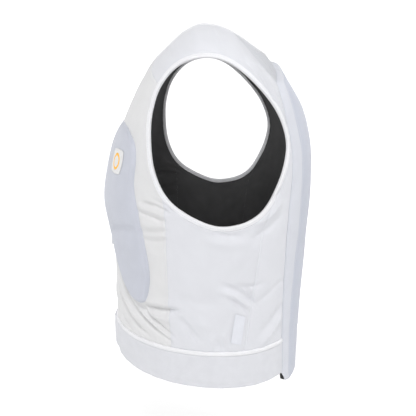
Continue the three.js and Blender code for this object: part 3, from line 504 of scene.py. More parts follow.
def shell(name, slot_name, node, grid, outer, inner, side, cloth, lining, carried=None):
    """A closed wall over a grid, placed on its node. "outer" and "inner" are heights in mm above the
    form; "carried" is a value for the material, kept beside the cloth's own coordinates."""
    rows, columns = grid.shape[:2]
    outer = np.broadcast_to(outer, (rows, columns))
    inner = np.broadcast_to(inner, (rows, columns))
    bend = relief(grid, side)
    outside, inside = skin(grid, outer + bend, side), skin(grid, inner + bend, side)
    count = rows * columns
    front = quads_of(rows, columns)
    back = quads_of(rows, columns, count, flip=True)
    index = np.arange(count).reshape(rows, columns)
    border = [*index[:, 0], *index[-1, 1:], *index[-2::-1, -1], *index[0, -2::-1]]
    rim = [(b, a, a + count, b + count) for a, b in zip(border[:-1], border[1:])]
    rim = [tuple(int(k) for k in face) for face in rim]
    marks = [0] * len(front) + [1] * len(back) + [0] * len(rim)
    u, _, v, _ = edge_gaps(grid)
    thread = np.stack([u, v, np.zeros_like(u) if carried is None else carried], -1).reshape(-1, 3)
    points = np.vstack([outside.reshape(-1, 3), inside.reshape(-1, 3)])
    piece = mesh_object(name, points, front + back + rim, marks, [cloth, lining],
                        np.vstack([thread, thread]), mirror=side == RIGHT)
    return placed(piece, slot_name, node)


# ---------- materials ----------
FACE_LINE = 0.86  # where the protector's gusset meets its face, as a share of the slope
FACE_BLEND = 0.03


def linear(color):
    """sRGB 0-255 to linear."""
    c = np.array(color, float) / 255
    return tuple(np.where(c <= 0.04045, c / 12.92, ((c + 0.055) / 1.055) ** 2.4))


def shaded(color, share):
    return tuple(c * share for c in color)


class Paint:
    """A material being built, with its shader and the sockets that feed it."""

    def __init__(self, name):
        self.material = bpy.data.materials.new(name)
        self.material.use_nodes = True
        self.nodes, self.links = self.material.node_tree.nodes, self.material.node_tree.links
        self.shader = self.nodes["Principled BSDF"].inputs

    def node(self, kind, **values):
        node = self.nodes.new("ShaderNode" + kind)
        for socket, value in values.items():
            node.inputs[socket.replace("_", " ")].default_value = value
        return node

    def calc(self, operation, *terms):
        node = self.node("Math")
        node.operation = operation
        for socket, term in zip(node.inputs, terms):
            if isinstance(term, (int, float)):
                socket.default_value = term
            else:
                self.links.new(term, socket)
        return node.outputs[0]

    def wave(self, value, pitch):
        return self.calc("SINE", self.calc("MULTIPLY", value, 2 * math.pi / pitch))

    def split(self, vector):
        node = self.node("SeparateXYZ")
        self.links.new(vector, node.inputs[0])
        return node.outputs

    def thread(self):
        """The cloth's own coordinates: all, mm along its rows and mm along its columns."""
        source = self.node("Attribute")
        source.attribute_name = "thread"
        parts = self.split(source.outputs["Vector"])
        return source.outputs["Vector"], parts[0], parts[1]

    def place(self):
        return self.node("TexCoord").outputs["Object"]

    def noise(self, vector, scale, detail):
        node = self.node("TexNoise", Scale=scale, Detail=detail)
        self.links.new(vector, node.inputs["Vector"])
        return node.outputs["Fac"]

    def ramp(self, factor, stops):
        """A colour from a factor; stops are (position, colour), the two ends first."""
        node = self.node("ValToRGB")
        elements = node.color_ramp.elements
        for number, (position, color) in enumerate(stops):
            element = elements[number] if number < 2 else elements.new(position)
            element.position, element.color = position, (*color, 1)
        self.links.new(factor, node.inputs["Fac"])
        return node.outputs["Color"]

    def mottled(self, factor, color, variation, low, high):
        return self.ramp(factor, [(low, shaded(color, 1 - variation)), (high, color)])

    def bump(self, height, distance):
        node = self.node("Bump", Distance=distance, Strength=1.0)
        self.links.new(height, node.inputs["Height"])
        self.links.new(node.outputs["Normal"], self.shader["Normal"])

    def finished(self, color, roughness, sheen=0.0, specular=0.5):
        self.links.new(color, self.shader["Base Color"])
        for socket, value in (("Roughness", roughness), ("Sheen Weight", sheen),
                              ("Sheen Roughness", 0.5), ("Specular IOR Level", specular)):
            self.shader[socket].default_value = value
        return self.material


def knit(name, color, wale=1.1, course=0.9, sheen=0.25, variation=0.035, beyond=None):
    """Fine knitted cloth: columns of slanting stitches, mottled a little. "beyond" is a second
    colour, where the value carried by the mesh has passed FACE_LINE."""
    paint = Paint(name)
    vector, u, v = paint.thread()
    slant = paint.calc("MULTIPLY", paint.wave(u, wale * 2), 0.25 * course)
    courses = paint.wave(paint.calc("ADD", v, slant), course)
    height = paint.calc("MULTIPLY", paint.calc("ADD", paint.wave(u, wale), courses), 0.25)
    paint.bump(height, 0.00012)
    mixed = paint.calc("ADD", paint.noise(vector, 0.045, 4), paint.calc("MULTIPLY", height, 0.35))
    shade = paint.mottled(mixed, color, variation, 0.3, 0.75)
    if beyond is not None:
        step = paint.node("MapRange", From_Min=FACE_LINE - FACE_BLEND, From_Max=FACE_LINE + FACE_BLEND)
        blend = paint.node("Mix")
        blend.data_type = "RGBA"
        paint.links.new(paint.split(vector)[2], step.inputs["Value"])
        paint.links.new(step.outputs["Result"], blend.inputs["Factor"])
        paint.links.new(shade, blend.inputs[6])
        paint.links.new(paint.mottled(mixed, beyond, variation, 0.3, 0.75), blend.inputs[7])
        shade = blend.outputs[2]
    return paint.finished(shade, 0.82, sheen, 0.25)


def spacer_mesh(name, color, pore_color):
    """Spacer mesh: rows of small pores, set half a step apart."""
    paint = Paint(name)
    _, u, v = paint.thread()
    rows = [paint.wave(paint.calc(way, u, v), 2.6) for way in ("ADD", "SUBTRACT")]
    pore = paint.calc("MULTIPLY", paint.calc("ADD", paint.calc("MULTIPLY", *rows), 1.0), 0.5)
    paint.bump(pore, 0.0005)
    return paint.finished(paint.ramp(pore, [(0.12, pore_color), (0.34, color)]), 0.8, 0.2)


def ribbed(name, color, pitch, depth=0.0002, roughness=0.75):
    """Woven tape or elastic with fine ribs."""
    paint = Paint(name)
    vector, u, v = paint.thread()
    cross = paint.calc("MULTIPLY", paint.wave(u, pitch * 0.7), 0.4)
    height = paint.calc("ADD", paint.wave(v, pitch), cross)
    paint.bump(paint.calc("MULTIPLY", height, 0.4), depth)
    shade = paint.mottled(paint.noise(vector, 0.08, 3), color, 0.04, 0.35, 0.7)
    return paint.finished(shade, roughness, 0.15)


def grained(name, color, scale, depth, roughness, variation=0.1, sheen=0.0):
    """Foam, plastic or paint: a noise grain in the object's own space."""
    paint = Paint(name)
    grain = paint.noise(paint.place(), scale, 5)
    paint.bump(grain, depth)
    return paint.finished(paint.mottled(grain, color, variation, 0.3, 0.7), roughness, sheen)


WARM = linear((221, 221, 222))
COOL = linear((220, 221, 226))
BLUE = linear((198, 201, 211))
# The protector's face: its own blue-grey, darkened further as painted shade for the side that turns away from
# the light.
FACE_TONE_AND_SHADE = linear((194, 198, 210))
GUSSET = linear((212, 214, 221))
MESH = linear((218, 220, 225))
BAND = linear((219, 220, 225))
BINDING = linear((236, 236, 239))

warm_knit = knit("ivory_knit", WARM)
cool_knit = knit("white_knit", COOL)
blue_knit = knit("grey_blue_knit", BLUE, variation=0.05)
cover_knit = knit("protector_knit", GUSSET, wale=1.3, course=1.1, variation=0.05, beyond=FACE_TONE_AND_SHADE)
back_mesh = spacer_mesh("spacer_mesh", MESH, linear((168, 170, 178)))
elastic = ribbed("knitted_elastic", BAND, 1.6)
tape = ribbed("bias_tape", BINDING, 0.9, depth=0.00012)
zip_cloth = ribbed("zip_tape_weave", linear((222, 223, 228)), 0.8, depth=0.0001)
# Inner faces of the hollow garment: a dark grey lining colour, which also stands as painted shade for the
# unlit inside seen through the armholes.
lining = knit("dark_lining_and_painted_shade", linear((84, 84, 85)), wale=1.4, course=1.2, sheen=0.05, variation=0.2)
foam_dark = grained("foam", linear((40, 40, 42)), 900, 0.0003, 0.9, 0.35)
thread_white = grained("thread", linear((219, 220, 225)), 4000, 0.00005, 0.6, 0.05, 0.2)
tooth_plastic = grained("zip_teeth", linear((216, 217, 221)), 2500, 0.00003, 0.4, 0.05)
satin_plastic = grained("slider_lacquer", linear((220, 221, 225)), 1800, 0.00003, 0.32, 0.08)
patch_white = grained("patch_field", linear((220, 220, 221)), 1500, 0.00006, 0.5, 0.04)
label_satin = ribbed("label_satin", linear((224, 226, 233)), 0.5, depth=0.00005, roughness=0.45)

# ---------- front, side, back side and shoulder panels ----------
front_top = chain(front_neck_cut[::-1], yoke_front_seam)
front_rows = (YOKE_ROW - FRONT_SEAM_ROW) * ARMHOLE_STEPS + SEAM_STEPS
front_edge = beside_centre(ZIP_HALF, front_top[0][1], PANEL_END, front_rows)
front_top[0] = front_edge[0]


def level_line(start, end, level, steps=1):
    return straight((start, level), (end, level), steps)


pad_end = PAD_EDGE[-1][0]
PANELS = {
    "front": (dict(top=front_top, bottom=level_line(front_edge[-1][0], FRONT_SEAM_END, PANEL_END),
                   left=front_edge, right=chain(armhole_part(FRONT_SEAM_ROW, YOKE_ROW)[::-1], front_seam)),
              warm_knit, "front_cloth"),
    "side": (dict(top=armhole_part(REAR_SEAM_ROW, FRONT_SEAM_ROW)[::-1],
                  bottom=level_line(FRONT_SEAM_END, REAR_SEAM_END, PANEL_END),
                  left=front_seam, right=rear_seam), cool_knit, "side_cloth"),
    "back_side": (dict(top=behind_seam[::-1], bottom=level_line(REAR_SEAM_END, pad_end, PANEL_END),
                       left=chain(armhole_part(BEHIND_ROW, REAR_SEAM_ROW), rear_seam),
                       right=pad_edge_lower), cool_knit, "side_cloth"),
    "yoke": (dict(top=chain(yoke_neck_cut[::-1], yoke_back_seam, pad_edge_upper),
                  bottom=chain(armhole_part(YOKE_ROW, len(ARMHOLE)), armhole_part(0, BEHIND_ROW)),
                  left=yoke_front_seam, right=behind_seam), cool_knit, "side_cloth"),
}
for panel, (outline, cloth, slot_name) in PANELS.items():
    grid = patch(**outline)
    top = rolled_in(grid)
    if panel == "back_side":  # the seam beside the thick protector sinks deeper
        top = np.minimum(top, rolled_in(grid, "r", depth=1.5, reach=1.2))
    for side, hand in SIDES:
        shell(f"{panel}_{hand}_cloth", slot_name, f"{panel}_{hand}", grid, top, -WALL, side, cloth, lining)

# ---------- back protector and the panel above it ----------
PAD_TOP_CENTRE, TAIL_CENTRE = 0.74, 9.42
pad_share = np.linspace(0, 1, 24 * FINE + 1)


def arched(corner, centre_level):
    rise = np.sin(np.pi * pad_share) ** 0.85
    return np.stack([corner[0] + (360 - 2 * corner[0]) * pad_share,
                     corner[1] + (centre_level - corner[1]) * rise], -1)


pad_top = arched(PAD_EDGE[0], PAD_TOP_CENTRE)
tail_line = line([PAD_EDGE[-1], *PAD_TAIL], len(PAD_TAIL))
pad_left = chain(pad_edge_upper, pad_edge_lower, tail_line)
pad_bottom = arched(PAD_TAIL[-1], TAIL_CENTRE)
pad_grid = patch(pad_top, pad_bottom, pad_left, mirrored(pad_left), pitch=2.6)
# Columns: level, width of the slope at the pad's edge in mm
SLOPES = np.array([(2, 14), (3.5, 18), (4.6, 22), (5.6, 20), (6.6, 14), (7.6, 9), (10, 8)], float)
TOP_SLOPE, TAIL_END = 9, 0.8


def swell(t):
    return np.sin(np.minimum(t, 1) * math.pi / 2)


def protector_height(grid):
    left, right, top, _ = edge_gaps(grid)
    side_gap = np.minimum(left, right)
    width = np.interp(grid[..., 1], SLOPES[:, 0], SLOPES[:, 1])
    open_end = TAIL_END * smooth(grid[..., 1], HEM_LEVEL - 0.05, HEM_LEVEL + 0.2)
    height = BACK_PAD * np.maximum(swell(side_gap / width) * swell(top / TOP_SLOPE), open_end)
    return height, side_gap / width, top / TOP_SLOPE


pad_height, pad_across, pad_down = protector_height(pad_grid)
pad_ring = np.minimum(pad_across, pad_down)
RIDGE, CHANNEL, CHANNEL_AFTER = 0.55, 0.45, 0.22  # mm up, mm down, and how far behind the ridge
ridge = (RIDGE * np.exp(-((pad_ring - FACE_LINE) * 9) ** 2)
         - CHANNEL * np.exp(-((pad_ring - FACE_LINE - CHANNEL_AFTER) * 11) ** 2))
pad_side = np.minimum(*edge_gaps(pad_grid)[:2])
RIB_HEIGHT, RIBS_END = 0.22, 0.74
ribs = np.sin(1.75 * pad_side + 0.9 * np.sin(1.6 * pad_grid[..., 1]))
gusset_rib = RIB_HEIGHT * ribs * (pad_ring < RIBS_END)
cover_top = pad_height + ridge + gusset_rib + rolled_in(pad_grid, "lrt", depth=1.1, reach=1.2)
shell("protector_cover_cloth", "cover_cloth", "protector_cover", pad_grid, cover_top, cover_top - COVER,
      LEFT, cover_knit, lining, pad_ring)
foam_grid = patch(pad_top, pad_bottom, pad_left, mirrored(pad_left), pitch=6)
foam_height, _, _ = protector_height(foam_grid)
shell("protector_foam_core", "foam", "protector_foam", foam_grid, foam_height - COVER - LAY, -BACK_INSIDE,
      LEFT, foam_dark, lining)

upper_grid = patch(back_neck_cut[::-1], pad_top, yoke_back_seam, mirrored(yoke_back_seam))
upper_grid = drawn_in(upper_grid, SEAM)
shell("upper_back_mesh", "back_mesh", "upper_back", upper_grid, rolled_in(upper_grid), -WALL, LEFT,
      back_mesh, lining)

# ---------- chest pads ----------
CHEST_SIDE = [(44, 3.22), (52.3, 3.58), (54.2, 3.95), (52.8, 4.5), (54.4, 5.05), (55.6, 5.6),
              (57, 6.15), (56.8, 6.6), (53.2, 7.04)]
CHEST_TOP = [(24, 2.97), (35, 3.06)]
CHEST_ARCH = [(22, 5.95), (31, 6.55), (40, 7.02), (48, 7.13)]
CHEST_HALF, CHEST_TOP_LEVEL, CHEST_LOW_LEVEL, CHEST_ROWS, CHEST_COLUMNS = ZIP_HALF + 4, 2.93, 5.72, 15, 9
CHEST_SLOPE, CHEST_TOP_SLOPE = 7, 34
CHEST_TUCK, CHEST_TUCK_WIDTH = 1.3, 1.6  # the pad's rim, drawn down where it is sewn
chest_edge = beside_centre(CHEST_HALF, CHEST_TOP_LEVEL, CHEST_LOW_LEVEL, CHEST_ROWS)
chest_side = line(CHEST_SIDE, CHEST_ROWS)
chest_grid = patch(line([chest_edge[0], *CHEST_TOP, chest_side[0]], CHEST_COLUMNS),
                   line([chest_edge[-1], *CHEST_ARCH, chest_side[-1]], CHEST_COLUMNS),
                   chest_edge, chest_side)


def chest_height(grid):
    left, right, top, bottom = edge_gaps(grid)
    rim = np.minimum.reduce([left, right, top * CHEST_SLOPE / CHEST_TOP_SLOPE, bottom])
    crown = (CHEST_PAD - CHEST_EDGE) * swell(rim / CHEST_SLOPE)
    return CHEST_LAY + CHEST_EDGE + crown - CHEST_TUCK * np.exp(-(rim / CHEST_TUCK_WIDTH) ** 2)


for side, hand in SIDES:
    shell(f"chest_pad_{hand}_cloth", "pad_cloth", f"chest_pad_{hand}", chest_grid, chest_height(chest_grid),
          -0.1, side, blue_knit, blue_knit)

# ---------- waistband and piping ----------
BAND_OUT = 1
LAP_START, LAP_END = 3, 12
TOP_ROW, HEM_ROW, ROW_WIDTH, BELT_HEIGHT = 3, 5, 0.9, 42  # mm: where the belt's rows of stitches sink in
band_edge = np.array(PAD_TAIL[:4], float)


def band(hand, start, lifted, side):
    right = sampled(band_edge, np.linspace(0, 1, 4 * FINE + 1))
    left = np.stack([np.full(len(right), float(start)), right[:, 1]], -1)
    grid = patch(level_line(start, band_edge[0][0], BELT_TOP),
                 level_line(start, band_edge[-1][0], HEM_LEVEL), left, right, pitch=2.6)
    lift = (BELT_WALL + LAY) * (1 - smooth(grid[..., 0], LAP_START, LAP_END)) if lifted else 0
    _, _, top, bottom = edge_gaps(grid)
    wave = 0.22 * np.sin(grid[..., 0] * 0.7 + side) * np.exp(-bottom / 12)
    groove = (-0.35 * np.exp(-((bottom - HEM_ROW) / ROW_WIDTH) ** 2)
              - 0.3 * np.exp(-((top - TOP_ROW) / ROW_WIDTH) ** 2))
    outer = BAND_OUT + lift + wave + groove + rolled_in(grid, depth=0.7)
    shell(f"waistband_{hand}_elastic", "waist_elastic", f"waistband_{hand}", grid, outer,
          BAND_OUT - BELT_WALL + lift, side, elastic, lining)


for (side, hand), start in zip(SIDES, (-BELT_LAP_ANGLE, NECK_GAP_ANGLE)):
    band(hand, start, side == LEFT, side)

PIPING_START = 0.2  # the ends meet in front of the zip
piping_levels = np.linspace(PANEL_END, BELT_TOP, 9)
for side, hand in SIDES:
    ends = np.interp(piping_levels, (PANEL_END, BELT_TOP), (pad_end, PAD_TAIL[0][0]))
    share = np.linspace(0, 1, 180)
    angles = PIPING_START + (ends[:, None] - PIPING_START) * share[None]
    grid = drawn_in(np.stack([angles, np.broadcast_to(piping_levels[:, None], angles.shape)], -1), SEAM)
    bulge = 0.1 + 1.2 * np.sqrt(np.maximum(1 - np.linspace(-1, 1, 9) ** 2, 0))[:, None]
    twist = 0.06 * np.sin(angles * 2.2 + piping_levels[:, None] * 30)
    shell(f"waist_piping_{hand}_cord", "binding", f"waist_piping_{hand}", grid, bulge + twist, -2, side,
          tape, tape)

# ---------- bindings ----------
# Columns: mm aside from the edge, mm out of the form; a rolled tape, thicker along its fold.
BINDING_SECTION = [(0.25, -2.4), (1.2, -3.1), (3, -3.4), (5, -3.0), (5.85, -2.4), (5.9, -1.2), (5.85, -0.1),
                   (5.2, 0.42), (4.4, 0.5), (3.6, 0.42), (2.6, 0.9), (1.6, 0.95), (0.7, 0.55), (0.2, -0.4)]


def bound(name, path, side):
    closed = np.allclose(path[0], path[-1])
    path = path[:-1] if closed else path
    section = np.array(BINDING_SECTION, float)
    full = np.vstack([path, path[:1]]) if closed else path
    walk = walk_along(on_form(full))[:len(path)]
    ripple = 0.12 * np.sin(2 * np.pi * walk / 7.9 + 1.6 * np.sin(2 * np.pi * walk / 83))
    rings = []
    for aside, out in section:
        moved = shifted(full, aside)[:len(path)]
        rings.append(skin(moved, out + ripple * (out > 0) + relief(moved, side) * (aside / 6), side))
    points = np.stack(rings, 1)
    count, around = points.shape[:2]
    faces = []
    for i in range(count if closed else count - 1):
        here, beyond = i * around, ((i + 1) % count) * around
        for k in range(around):
            turn = (k + 1) % around
            faces.append((here + k, here + turn, beyond + turn, beyond + k))
    if not closed:
        faces.append(tuple(reversed(range(around))))
        faces.append(tuple(range((count - 1) * around, count * around)))
    around_walk = walk_along(section)
    thread = np.stack(np.broadcast_arrays(walk[:, None], around_walk[None], 0.0), -1).reshape(-1, 3)
    return mesh_object(name, points.reshape(-1, 3), faces, [0] * len(faces), [tape], thread,
                       mirror=side == RIGHT)


for side, hand in SIDES:
    placed(bound(f"armhole_binding_{hand}_tape", armhole_edge, side), "binding", f"armhole_binding_{hand}")
placed(bound("neck_binding_tape", neck_edge, LEFT), "binding", "neck_binding")

# ---------- zip ----------
ZIP_TAPE_OUT, ZIP_TAPE_IN = -0.6, -2.0
TOOTH_PITCH = 1.6
SLIDER_BEVEL = 0.00018  # metres
zip_top_level = front_edge[0][1]


def centre_line(x):
    return beside_centre(x, zip_top_level, PANEL_END, front_rows)


zip_inner, zip_outer = centre_line(0.4), centre_line(ZIP_HALF)
zip_grid = patch(straight(zip_inner[0], zip_outer[0], 1), straight(zip_inner[-1], zip_outer[-1], 1),
                 zip_inner, zip_outer, pitch=2.0, edges=(0.5,))


def bars(name, frames, template, faces, material):
    """Copies of a small closed shape, one at each frame (centre, along, across, up), as one mesh."""
    template = np.asarray(template, float)
    centre, along, across, up = (np.asarray(part, float) for part in zip(*frames))
    points = (centre[:, None] + template[None, :, :1] * along[:, None]
              + template[None, :, 1:2] * across[:, None] + template[None, :, 2:] * up[:, None])
    count = len(template)
    every = [tuple(index + n * count for index in face) for n in range(len(frames)) for face in faces]
    return mesh_object(name, points.reshape(-1, 3), every, [0] * len(every), [material], sharp=60)


def prism(half_length, half_width, half_height, taper):
    """A bar with a six-sided section, narrower at both ends: its points and faces."""
    section = [(-1, 0), (-0.5, 1), (0.5, 1), (1, 0), (0.5, -1), (-0.5, -1)]
    rings = [(-half_length, taper), (-half_length * 0.6, 1), (half_length * 0.6, 1), (half_length, taper)]
    points = [(x, y * half_width * share, z * half_height * share) for x, share in rings for y, z in section]
    faces = [tuple(range(6)), tuple(range(23, 17, -1))]
    for ring in range(3):
        for k in range(6):
            turn = (k + 1) % 6
            faces.append((ring * 6 + k, ring * 6 + 6 + k, ring * 6 + 6 + turn, ring * 6 + turn))
    return points, faces


tooth_points, tooth_faces = prism(1.5, 0.5, 0.72, 0.6)
for side, hand in SIDES:
    shell(f"zip_tape_{hand}_weave", "zip_tape", f"zip_tape_{hand}", zip_grid, ZIP_TAPE_OUT, ZIP_TAPE_IN, side,
          zip_cloth, lining)
    seat = centre_line(1.1)
    walk = walk_along(on_form(seat))
    stops = np.arange(0.9 if side == LEFT else 1.7, walk[-1] - 0.8, TOOTH_PITCH)
    places = np.stack([np.interp(stops, walk, seat[:, k]) for k in (0, 1)], -1)
    centres = skin(places, 0.15 + relief(places, side), side)
    up = outward(places) * (side, 1, 1)
    across = np.tile((float(side), 0, 0), (len(places), 1))
    along = unit(np.cross(up, across))
    frames = list(zip(centres, unit(across - up * np.sum(across * up, -1, keepdims=True)), along, up))
    placed(bars(f"zip_teeth_{hand}", frames, tooth_points, tooth_faces, tooth_plastic), "zip_tape")

for node in ("zip_slider", "zip_pull"):
    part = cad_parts[node]
    part.material_slots[0].material = satin_plastic
    bevel = part.modifiers.new("rounded_edges", "BEVEL")
    bevel.width = SLIDER_BEVEL
    bevel.segments = 2
    bevel.limit_method = "ANGLE"
    bevel.angle_limit = math.radians(40)

# ---------- chest patch and care label, on the wearer's left only ----------
RING_SPAN, RING_EDGE = 1.2, 0.02  # the ramp's reach in ring radii, and its soft edge


def rounded(upper_front, lower_front, lower_back, upper_back, steps, roundness):
    across, down = np.meshgrid(np.linspace(0, 1, steps + 1), np.linspace(0, 1, steps + 1))
    u, v = 2 * across - 1, 2 * down - 1
    s = ((1 + u * np.sqrt(1 - roundness * v ** 2)) / 2)[..., None]
    t = ((1 + v * np.sqrt(1 - roundness * u ** 2)) / 2)[..., None]
    corners = [np.array(c, float) for c in (upper_front, upper_back, lower_front, lower_back)]
    upper = corners[0] + (corners[1] - corners[0]) * s
    lower = corners[2] + (corners[3] - corners[2]) * s
    return upper + (lower - upper) * t, u, v


def ring_paint(name, field, ring, half_u, half_v, inner):
    """A plain oval ring painted on a field, placed by the piece's own coordinates."""
    paint = Paint(name)
    _, u, v = paint.thread()
    squares = [paint.calc("POWER", paint.calc("ABSOLUTE", paint.calc("DIVIDE", value, half)), 2.0)
               for value, half in ((u, half_u), (v, half_v))]
    radius = paint.calc("SQRT", paint.calc("ADD", *squares))
    inside, outside = inner / RING_SPAN, 1 / RING_SPAN
    color = paint.ramp(paint.calc("DIVIDE", radius, RING_SPAN),
                       [(inside - RING_EDGE, field), (outside + RING_EDGE, field),
                        (inside, ring), (outside, ring)])
    paint.bump(paint.noise(paint.place(), 1600, 4), 0.00006)
    return paint.finished(color, 0.42)


PATCH_OUT = CHEST_LAY + CHEST_PAD + LAY
RING_U, RING_V = 0.6, 0.68  # half-axes of the ring, as shares of the patch's
patch_grid, patch_u, patch_v = rounded((35.8, 3.66), (33, 4.22), (44.4, 4.32), (47.6, 3.76), 48, 0.22)
ring_radius = np.hypot(patch_u / RING_U, patch_v / RING_V)
ring_rise = smooth(ring_radius, 0.62, 0.72) * (1 - smooth(ring_radius, 0.98, 1.08))
border = np.maximum(np.abs(patch_u), np.abs(patch_v))
patch_rise = 0.55 + 0.3 * ring_rise + 0.25 * smooth(border, 0.84, 0.9) - 0.5 * smooth(border, 0.95, 1.0)
patch_paint = ring_paint("patch_paint", linear((222, 222, 222)), linear((252, 184, 8)), RING_U, RING_V, 0.7)
chest_patch = shell("chest_patch_plain", "patch", "chest_patch", patch_grid, PATCH_OUT + patch_rise,
                    PATCH_OUT, LEFT, patch_paint, patch_white)
patch_thread = np.stack([patch_u, patch_v, np.zeros_like(patch_u)], -1).reshape(-1, 3)
chest_patch.data.attributes["thread"].data.foreach_set(
    "vector", np.vstack([patch_thread, patch_thread]).astype(np.float32).ravel())

LABEL_WALL = 0.5
label_grid, label_u, label_v = rounded((98.4, 7.13), (95.7, 7.67), (100.6, 7.73), (103.3, 7.2), 26, 0.03)
label_curl = 0.7 * smooth(-label_u, 0.1, 1.0) * (0.6 + 0.4 * np.sin(2.2 * label_v + 0.5))
label_lift = np.maximum(label_curl + 0.12 * np.sin(5 * label_v), 0)
shell("care_label_satin", "label", "care_label", label_grid, LAY + LABEL_WALL + label_lift, LAY + label_lift,
      LEFT, label_satin, label_satin)

# ---------- sewing ----------
STITCH_PITCH, STITCH_LENGTH, STITCH_HALF, STITCH_HEIGHT = 3.0, 2.1, 0.24, 0.22
stitch_points, stitch_faces = prism(STITCH_LENGTH / 2, STITCH_HALF, STITCH_HEIGHT, 0.35)


def stitch_frames(path, out, side):
    """Frames of a row of stitches on a line, "out" mm above the cloth."""
    out = np.broadcast_to(np.asarray(out, float), (len(path),))
    walk = walk_along(on_form(path))
    stops = np.arange(STITCH_PITCH / 2, walk[-1] - STITCH_PITCH / 3, STITCH_PITCH)
    if len(stops) < 2:
        return []
    places = np.stack([np.interp(stops, walk, path[:, k]) for k in (0, 1)], -1)
    height = np.interp(stops, walk, out)
    centres = skin(places, height + relief(places, side), side)
    up = outward(places) * (side, 1, 1)
    along = np.gradient(centres, axis=0)
    along = unit(along - up * np.sum(along * up, -1, keepdims=True))
    return list(zip(centres, along, np.cross(up, along), up))


def sewn(name, rows):
    frames = [one for path, out, side in rows for one in stitch_frames(path, out, side)]
    placed(bars(name, frames, stitch_points, stitch_faces, thread_white), "binding")


BINDING_STITCH, BINDING_STITCH_OUT, STITCH_OUT = 3.6, 0.42, 0.02
SECOND_ROW = BINDING_WIDTH + 3.4
BESIDE = 2.2  # a row of stitches lies this far from its seam
belt_rows = (BELT_TOP + TOP_ROW / BELT_HEIGHT, HEM_LEVEL - HEM_ROW / BELT_HEIGHT)
for side, hand in SIDES:
    rows = [(shifted(armhole_edge, BINDING_STITCH), BINDING_STITCH_OUT, side),
            (shifted(armhole_edge, SECOND_ROW), STITCH_OUT, side)]
    for seam, way in ((yoke_front_seam, 1), (yoke_front_seam, -1), (yoke_back_seam, -1), (behind_seam, -1),
                      (front_seam, -1), (rear_seam, 1)):
        rows.append((shifted(seam, way * BESIDE)[2 * FINE:-2], STITCH_OUT, side))
    rows.append((shifted(pad_edge_lower, -BESIDE), STITCH_OUT, side))
    rows += [(centre_line(ZIP_HALF + extra), STITCH_OUT, side) for extra in (2, 5)]
    start = -BELT_LAP_ANGLE + 1 if side == LEFT else BELT_LAP_ANGLE + 1
    for level in belt_rows:
        path = level_line(start, band_edge[0][0] - 1, level, 20)
        lift = (BELT_WALL + LAY) * (1 - smooth(path[:, 0], LAP_START, LAP_END)) if side == LEFT else 0
        rows.append((path, BAND_OUT + lift - 0.3, side))
    sewn(f"stitches_{hand}", rows)
lap_rows = [(straight((angle, belt_rows[0]), (angle, belt_rows[1]), 1), BAND_OUT + BELT_WALL + LAY, LEFT)
            for angle in (1.2 - BELT_LAP_ANGLE, 8 - BELT_LAP_ANGLE)]
neck_rows = [(shifted(neck_edge, BINDING_STITCH), BINDING_STITCH_OUT, LEFT)]


def along_ring(share, mirror):
    """The line on the back protector that runs down one side of its face."""
    ratios = edge_gaps(pad_grid)[0] / np.interp(pad_grid[..., 1], SLOPES[:, 0], SLOPES[:, 1])
    path, heights = [], []
    for i in np.flatnonzero(pad_down[:, pad_grid.shape[1] // 2] > share):
        ratio = ratios[i]
        path.append([np.interp(share, ratio, pad_grid[i, :, k]) for k in (0, 1)])
        heights.append(np.interp(share, ratio, cover_top[i]))
    path = np.array(path)
    return (mirrored(path) if mirror else path), np.array(heights)


face_rows = []
for mirror in (False, True):
    path, heights = along_ring(FACE_LINE + 0.2, mirror)
    face_rows.append((path, heights + 0.05, LEFT))
sewn("stitches_closings", lap_rows + neck_rows + face_rows)

# ---------- camera, light and floor ----------
PITCH = math.radians(13.2277)
camera_data = bpy.data.cameras.new("camera")
camera_data.lens = 55.17
camera_data.sensor_width = 36
camera = bpy.data.objects.new("camera", camera_data)
camera.location = (0.87198, 0.00078, -0.0408)
camera.rotation_euler = (math.pi / 2 - PITCH, 0, math.pi / 2)
bpy.context.scene.collection.objects.link(camera)
bpy.context.scene.camera = camera


LIGHT_AIM = (0, 0, -0.24)  # the middle of the garment


def area_light(name, location, size, power):
    data = bpy.data.lights.new(name, "AREA")
    data.size = size
    data.energy = power
    light = bpy.data.objects.new(name, data)
    light.location = location
    aim = Vector(LIGHT_AIM) - Vector(location)
    light.rotation_euler = aim.to_track_quat("-Z", "Y").to_euler()
    bpy.context.scene.collection.objects.link(light)


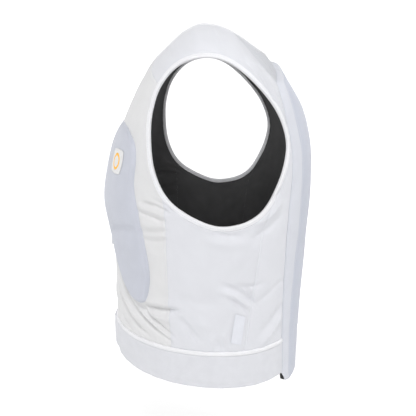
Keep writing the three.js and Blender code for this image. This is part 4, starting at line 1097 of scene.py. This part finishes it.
area_light("key", (1.3, -0.15, 1.35), 0.45, 18)
area_light("top", (0.3, 1.3, 1.5), 0.9, 9)
area_light("fill", (1.9, -0.2, 0.1), 1.2, 7)
world = bpy.data.worlds.new("studio")
world.use_nodes = True
world.node_tree.nodes["Background"].inputs["Color"].default_value = (1, 1, 1, 1)
world.node_tree.nodes["Background"].inputs["Strength"].default_value = 0.2
bpy.context.scene.world = world
bpy.context.scene.view_settings.view_transform = "Standard"

FLOOR_Z, FLOOR_RADIUS, COVE = -0.62, 3.2, 1.4
FLOOR_GLOW_FROM, FLOOR_GLOW_TO, FLOOR_GLOW, FLOOR_GLOW_FRONT = -0.8, 1.4, 1.0, 0.33
floor_rings = [(0.0, 0.0), (1.2, 0.0), (FLOOR_RADIUS - COVE, 0.0)]
floor_rings += [(FLOOR_RADIUS - COVE + COVE * math.sin(t), COVE - COVE * math.cos(t))
                for t in np.linspace(0, math.pi / 2, 13)[1:]]
floor_rings.append((FLOOR_RADIUS, 3.0))
SPOKES = 64
turns = [2 * math.pi * k / SPOKES for k in range(SPOKES)]
floor_points = [(r * math.cos(turn), r * math.sin(turn), FLOOR_Z + h)
                for r, h in floor_rings[1:] for turn in turns] + [(0, 0, FLOOR_Z)]
floor_faces = []
for first in range(0, (len(floor_rings) - 2) * SPOKES, SPOKES):
    for k in range(SPOKES):
        beyond = (k + 1) % SPOKES
        floor_faces.append((first + k, first + beyond, first + SPOKES + beyond, first + SPOKES + k))
floor_faces += [(len(floor_points) - 1, k, (k + 1) % SPOKES) for k in range(SPOKES)]
floor_paint = Paint("floor")
for socket, value in (("Base Color", (0.35, 0.35, 0.35, 1)), ("Roughness", 0.95),
                      ("Specular IOR Level", 0.0), ("Emission Color", (1, 1, 1, 1))):
    floor_paint.shader[socket].default_value = value
glow = floor_paint.node("MapRange", From_Min=FLOOR_GLOW_FROM, From_Max=FLOOR_GLOW_TO,
                        To_Min=FLOOR_GLOW, To_Max=FLOOR_GLOW_FRONT)
floor_paint.links.new(floor_paint.split(floor_paint.place())[0], glow.inputs["Value"])
floor_paint.links.new(glow.outputs["Result"], floor_paint.shader["Emission Strength"])
floor = mesh_object("floor", np.array(floor_points) * 1000, floor_faces, [0] * len(floor_faces),
                    [floor_paint.material])
